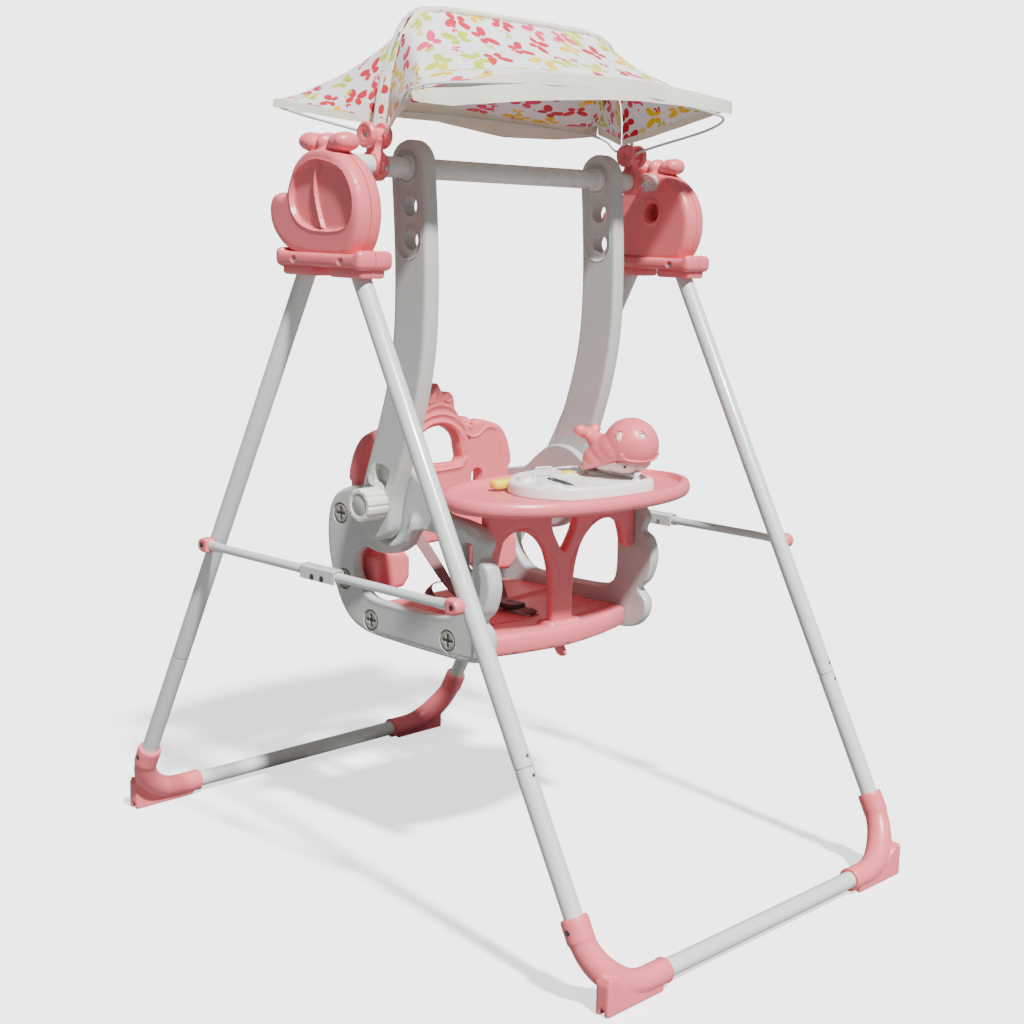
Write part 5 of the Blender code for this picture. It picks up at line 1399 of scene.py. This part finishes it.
def build_whale():
    """The rocking whale: body, belly, eyes and mouth line."""
    shapes = [ellipsoid(WHALE, (0.0403, 0.0423, 0.0396)),
              ellipsoid(WHALE - AXLE * 0.014 + Vector((-0.004, 0, -0.008)), (0.0380, 0.0380, 0.0300)),
              ellipsoid((0.0510, -0.1680, 0.6330), (0.0350, 0.0380, 0.0270)),
              ellipsoid((0.0470, -0.1540, 0.6230), (0.0330, 0.0330, 0.0230)),
              ellipsoid((0.0430, -0.1370, 0.6120), (0.0220, 0.0180, 0.0110))]
    base = Vector((0.0505, -0.1225, 0.6545))
    stalk = flowing([WHALE - AXLE * 0.026 + Vector((-0.002, 0, -0.005)), WHALE - AXLE * 0.044 +
                     Vector((-0.004, 0, -0.005)), WHALE - AXLE * 0.060 + Vector((-0.005, 0, 0)), base],
                    5, closed=False)
    shapes.append(rod_shape(stalk, np.linspace(0.0210, 0.0100, len(stalk))))
    for tip, r in ((Vector((0.0325, -0.1175, 0.6625)), 0.0092), (Vector((0.0605, -0.1215, 0.6635)), 0.0086)):
        shapes.append(rod_shape([base, base.lerp(tip, 0.5), tip], (0.0092, r * 0.98, r)))
        shapes.append(ellipsoid(tip, (r * 1.10, r * 1.05, r)))
    body = sculpted("whale_body_skin", shapes, 0.0015, PINK, None, smoothing=16)
    for vertex in body.data.vertices:
        vertex.co.z = max(vertex.co.z, jaw_line(vertex.co.y))
    settle(body, "whale", "whale_body")
    belly = sculpted("whale_belly_skin", [
        ellipsoid((0.0605, -0.1860, 0.6225), (0.0385, 0.0345, 0.0180)),
        ellipsoid(AXLE_CENTRE + Vector((0.002, 0, 0.0165)), (0.0280, 0.0330, 0.0150))],
        0.0016, WHITE, None, smoothing=5, mat=BELLY)
    for vertex in belly.data.vertices:
        vertex.co.z = min(vertex.co.z, jaw_line(vertex.co.y) - 0.0004)
    settle(belly, "whale", "whale_belly")
    # Each eye: a white patch that paints the highlight on the eye, the pupil on its upper part, and a pink
    # brow rim over it.
    for tag, azimuth, high, halves in (("left", 191.7, 22.0, (0.0050, 0.0076)),
                                       ("right", 244.8, 25.0, (0.0046, 0.0054))):
        spot, way = on_head(azimuth, high, -0.0022)
        turn = way.to_track_quat("Z", "Y").to_matrix()
        for part, lift, radii, mat in (("white", 0.0, (*halves, 0.0034), None),
                                       ("pupil", 0.0026, (0.0034, 0.0032, 0.0024), PUPIL)):
            place = spot + turn @ Vector((0, lift, 0.0008 if part == "pupil" else 0))
            verts, faces = ellipsoid(place, radii, turn, 20)
            piece(f"whale_{tag}_eye_{part}", verts, faces, WHITE, "whale", mat=mat, sharp=None)
        brow = [on_head(azimuth + d, high + h, 0.0004)[0] for d, h in
                ((-8.5, 2), (-7.5, 9), (-2, 13.0), (3, 12.5), (8, 8), (9, 1))]
        tube(f"whale_{tag}_eye_rim", flowing(brow, 4, closed=False), 0.0009, PINK, "whale", segments=10)
    lip = [on_head(a, e, 0.0)[0] for a, e in ((200, -20), (206, -25.0), (214, -28.5), (228, -30.5),
           (246, -31), (264, -31), (280, -29.5), (296, -25), (304, -20))]
    tube("whale_lip", flowing(lip, 5, closed=False), 0.0017, PINK, "whale", segments=14)
    for azimuth in (199.5, 305.0):
        spot, _ = on_head(azimuth, -17.5, -0.0012)
        verts, faces = ellipsoid(spot, (0.0036, 0.0036, 0.0034), None, 20)
        piece(f"whale_cheek_{int(azimuth)}", verts, faces, PINK, "whale", sharp=None)
    # The belly's hole: a small dark disc that paints the shade inside the hole.
    spot = Vector((0.0605 - 0.0285, -0.1860 - 0.0215, 0.6185))
    turned("whale_belly_hole_shade", plain_disc(0.0021, 0.0016), spot, Vector((-0.74, -0.62, -0.22)),
           WHITE, "whale", mat=DARK_AND_SHADE)


# ---------------------------------------------------------------- canopy
FRONT_BLEND = ((0, -0.030, 1.210), (0, -0.150, 1.150))
REAR_BLEND = ((0, 0.030, 1.205), (0, 0.138, 1.120))
ARCH = flowing([(0.2375, 1.0930), (0.2360, 1.1300), (0.2215, 1.1860), (0.2050, 1.2180),
                (0.1840, 1.2380), (0.1560, 1.2440), (0.0700, 1.2455), (0.0, 1.2455)], 8, closed=False)
ARCH_LENGTH = np.concatenate(([0], np.cumsum(np.linalg.norm(np.diff(np.array(ARCH), axis=0), axis=1))))


def on_arch(s, fore):
    """A point of the ridge, from the left hub (s = -1) to the right (s = 1)."""
    want = (1 - abs(s)) * ARCH_LENGTH[-1]
    x, z = (float(np.interp(want, ARCH_LENGTH, [p[k] for p in ARCH])) for k in (0, 1))
    return np.array((math.copysign(x, s), fore * 0.0008, z))


EAVE_HALF = 0.3270


def eave(s, fore):
    """Where the cloth turns down into its valance, and the valance's depth."""
    x = math.copysign(float(np.interp(abs(s), (0, 0.62, 1), (0, 0.302, EAVE_HALF))), s)
    k = x / EAVE_HALF
    if fore < 0:
        z = float(np.interp(k, (-1, -0.76, -0.41, 0.0, 0.26, 0.62, 1.0),
                            (1.1170, 1.1370, 1.1580, 1.1640, 1.1655, 1.1620, 1.1560)))
        depth = float(np.interp(k, (-1, -0.96, -0.80, -0.41, 0.3, 1.0),
                                (0.009, 0.015, 0.029, 0.037, 0.028, 0.020)))
        return np.array((x, -(0.1460 + 0.0235 * (1 - k * k)), z)), depth
    z = float(np.interp(k, (-1, -0.5, 0.0, 0.38, 0.75, 1.0),
                        (1.1160, 1.1290, 1.1330, 1.1240, 1.1180, 1.1210)))
    depth = float(np.interp(k, (-1, -0.9, 0, 0.4, 1.0), (0.010, 0.018, 0.025, 0.031, 0.016)))
    return np.array((x, 0.1330 + 0.0260 * (1 - k * k), z)), depth


def wrinkles(x, y, z):
    """Slack in the cloth: broad waves and a few finer creases."""
    return 0.0034 * noise.noise(Vector((x * 9, y * 11, z * 9))) \
        + 0.0016 * noise.noise(Vector((x * 26, y * 24, z * 26 + 5)))


def sheet_mesh(name, grid, uv, mat, slot, body, blend=None,
               nodes=()):
    """A cloth piece from a grid of points."""
    rows, columns = len(grid), len(grid[0])
    verts = [p for row in grid for p in row]
    faces = [(j * columns + i, j * columns + i + 1, (j + 1) * columns + i + 1, (j + 1) * columns + i)
             for j in range(rows - 1) for i in range(columns - 1)]
    obj = piece(name, verts, faces, slot, None, (), mat, uv=[tuple(t) for row in uv for t in row],
                sharp=None)
    if blend:
        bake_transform(obj)
    settle(obj, None if blend else body, nodes)
    return obj


PRINT_ACROSS, PRINT_DOWN = 0.355, 0.23      # half the cloth's width and its depth, for the print


def cloth_point(s, v, fore):
    """A point of the cloth, from the ridge (v = 0) to the eave (v = 1), with its sag and wrinkles."""
    end, _ = eave(s, fore)
    p = on_arch(s, fore) * (1 - v) + end * v
    belly = math.sin(math.pi * v) * (1 - abs(s) ** 5)
    flat_top = 1 - float(ease((abs(s) - 0.45) / 0.3))
    p[2] -= 0.007 * belly + 0.012 * belly * flat_top
    if fore < 0:
        p[2] -= 0.0065 * math.exp(-((v - 0.66 - 0.03 * math.sin(4 * s)) / 0.060) ** 2) * flat_top
    gable = math.exp(-((abs(s) - 0.78) / 0.16) ** 2)
    p[0] -= math.copysign(0.005 * math.sin(math.pi * v) * gable, s)
    slack = wrinkles(*p) * math.sin(math.pi * v) ** 0.5
    p += np.array((0.15 * math.copysign(1, s), 0.35 * fore, 0.9)) * slack
    p[2] += 0.0013 * math.sin(s * 46 + 2 * v) * math.exp(-(v / 0.10) ** 2) * min(v * 30, 1)
    return p


def valance_point(s, v, fore, top):
    """A point of the valance, from the eave (v = 0) to its free edge (v = 1)."""
    _, depth = eave(s, fore)
    swing = 0.0032 * math.sin(s * 17 + 1) + 0.0015 * math.sin(s * 41)
    out = 0.0028 * math.sin(math.pi * v * 0.5) + swing * v * 0.6
    return top + np.array((0.0, fore * out, -depth * v)), (s * PRINT_ACROSS, v * depth)


CLOTH_COLUMNS, CLOTH_ROWS, VALANCE_ROWS, HEM_ROWS = 96, 26, 6, 4


def build_canopy():
    """Each half's cloth, its valance along the eave and its hems down the two sides."""
    places = [2 * i / CLOTH_COLUMNS - 1 for i in range(CLOTH_COLUMNS + 1)]
    for label, fore, blend in (("front", -1, FRONT_BLEND), ("rear", 1, REAR_BLEND)):
        body, cloth = f"{label}_bow", f"canopy_{label}_cloth"
        downs = [j / CLOTH_ROWS for j in range(CLOTH_ROWS + 1)]
        spread = [[cloth_point(s, v, fore) for s in places] for v in downs]
        aside = 0.9 if fore > 0 else 0
        spread_uv = [[(s * PRINT_ACROSS + aside, v * PRINT_DOWN) for s in places] for v in downs]
        drops = [j / VALANCE_ROWS for j in range(VALANCE_ROWS + 1)]
        valance = [[valance_point(s, v, fore, top) for s, top in zip(places, spread[-1])]
                   for v in drops]
        sheet_mesh(cloth, spread, spread_uv, None, "canopy_cloth", body, blend,
                   nodes=f"canopy_{label}")
        sheet_mesh(f"canopy_{label}_valance", [[p for p, _ in row] for row in valance],
                   [[t for _, t in row] for row in valance], TRIM, "canopy_cloth", body, blend)
        for hand, side in SIDES:
            edge = [row[0 if side < 0 else -1] for row in spread]
            strip, strip_uv = [], []
            for v in (j / HEM_ROWS for j in range(HEM_ROWS + 1)):
                drop = [np.array((side * 0.0010 * v, 0, -0.0120 * v * (0.80 + 0.20 * k / CLOTH_ROWS)))
                        for k in range(len(edge))]
                strip.append([p + d for p, d in zip(edge, drop)])
                strip_uv.append([(k * 0.0065, v * 0.016) for k in range(len(edge))])
            sheet_mesh(f"canopy_{label}_{hand}_hem", strip, strip_uv, TRIM, "canopy_cloth", body, blend)
    build_casing()


def build_casing():
    """The cream casing that the cloth's two halves share, folded over the middle bow."""
    half = [(x, 0.0, z) for x, z in ARCH if z > 1.2005]
    path = even(half + [(-x, y, z) for x, y, z in half[::-1][1:]], 0.006, False)
    _, _, sides, _ = frames(path, up=(0, 1, 0))
    grid, uv = [], []
    for j, t in enumerate(np.radians(np.linspace(-158, 158, 15))):
        row = []
        for k, (p, side) in enumerate(zip(path, sides)):
            out = side if abs(p[0]) > 0.15 else np.array((0.0, 0.0, 1.0))
            r = 0.0052 + 0.0009 * noise.noise(Vector((p[0] * 60, j * 0.4, 0)))
            centre = p + out * 0.0008
            row.append(centre + out * r * math.cos(t) + np.array((0, r * math.sin(t) * 1.15, 0)))
        grid.append(row)
        uv.append([(k * 0.006, j * 0.002) for k in range(len(path))])
    sheet_mesh("canopy_ridge_casing", grid, uv, TRIM, "canopy_cloth", "frame")


def dress_kept_nodes():
    """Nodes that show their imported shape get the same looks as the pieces."""
    kept = {name: STEEL for name in ("front_bow", "middle_bow", "rear_bow")}
    kept["whale_axle"] = CHROME
    for hand, _ in SIDES:
        kept[f"{hand}_bush"] = WHITE
        kept.update({f"{hand}_{label}_leg_pin": CHROME for label, _ in ENDS})
    for name, slot in kept.items():
        for material_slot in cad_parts[name].material_slots:
            material_slot.material = MATERIALS[slot]


for build in (build_stage, build_camera, build_legs, build_crossbar, build_housings, build_stays,
              build_clamps, build_arms, build_panels, build_back, build_pan, build_harness, build_tray,
              build_console, build_whale, build_canopy, dress_kept_nodes):
    build()
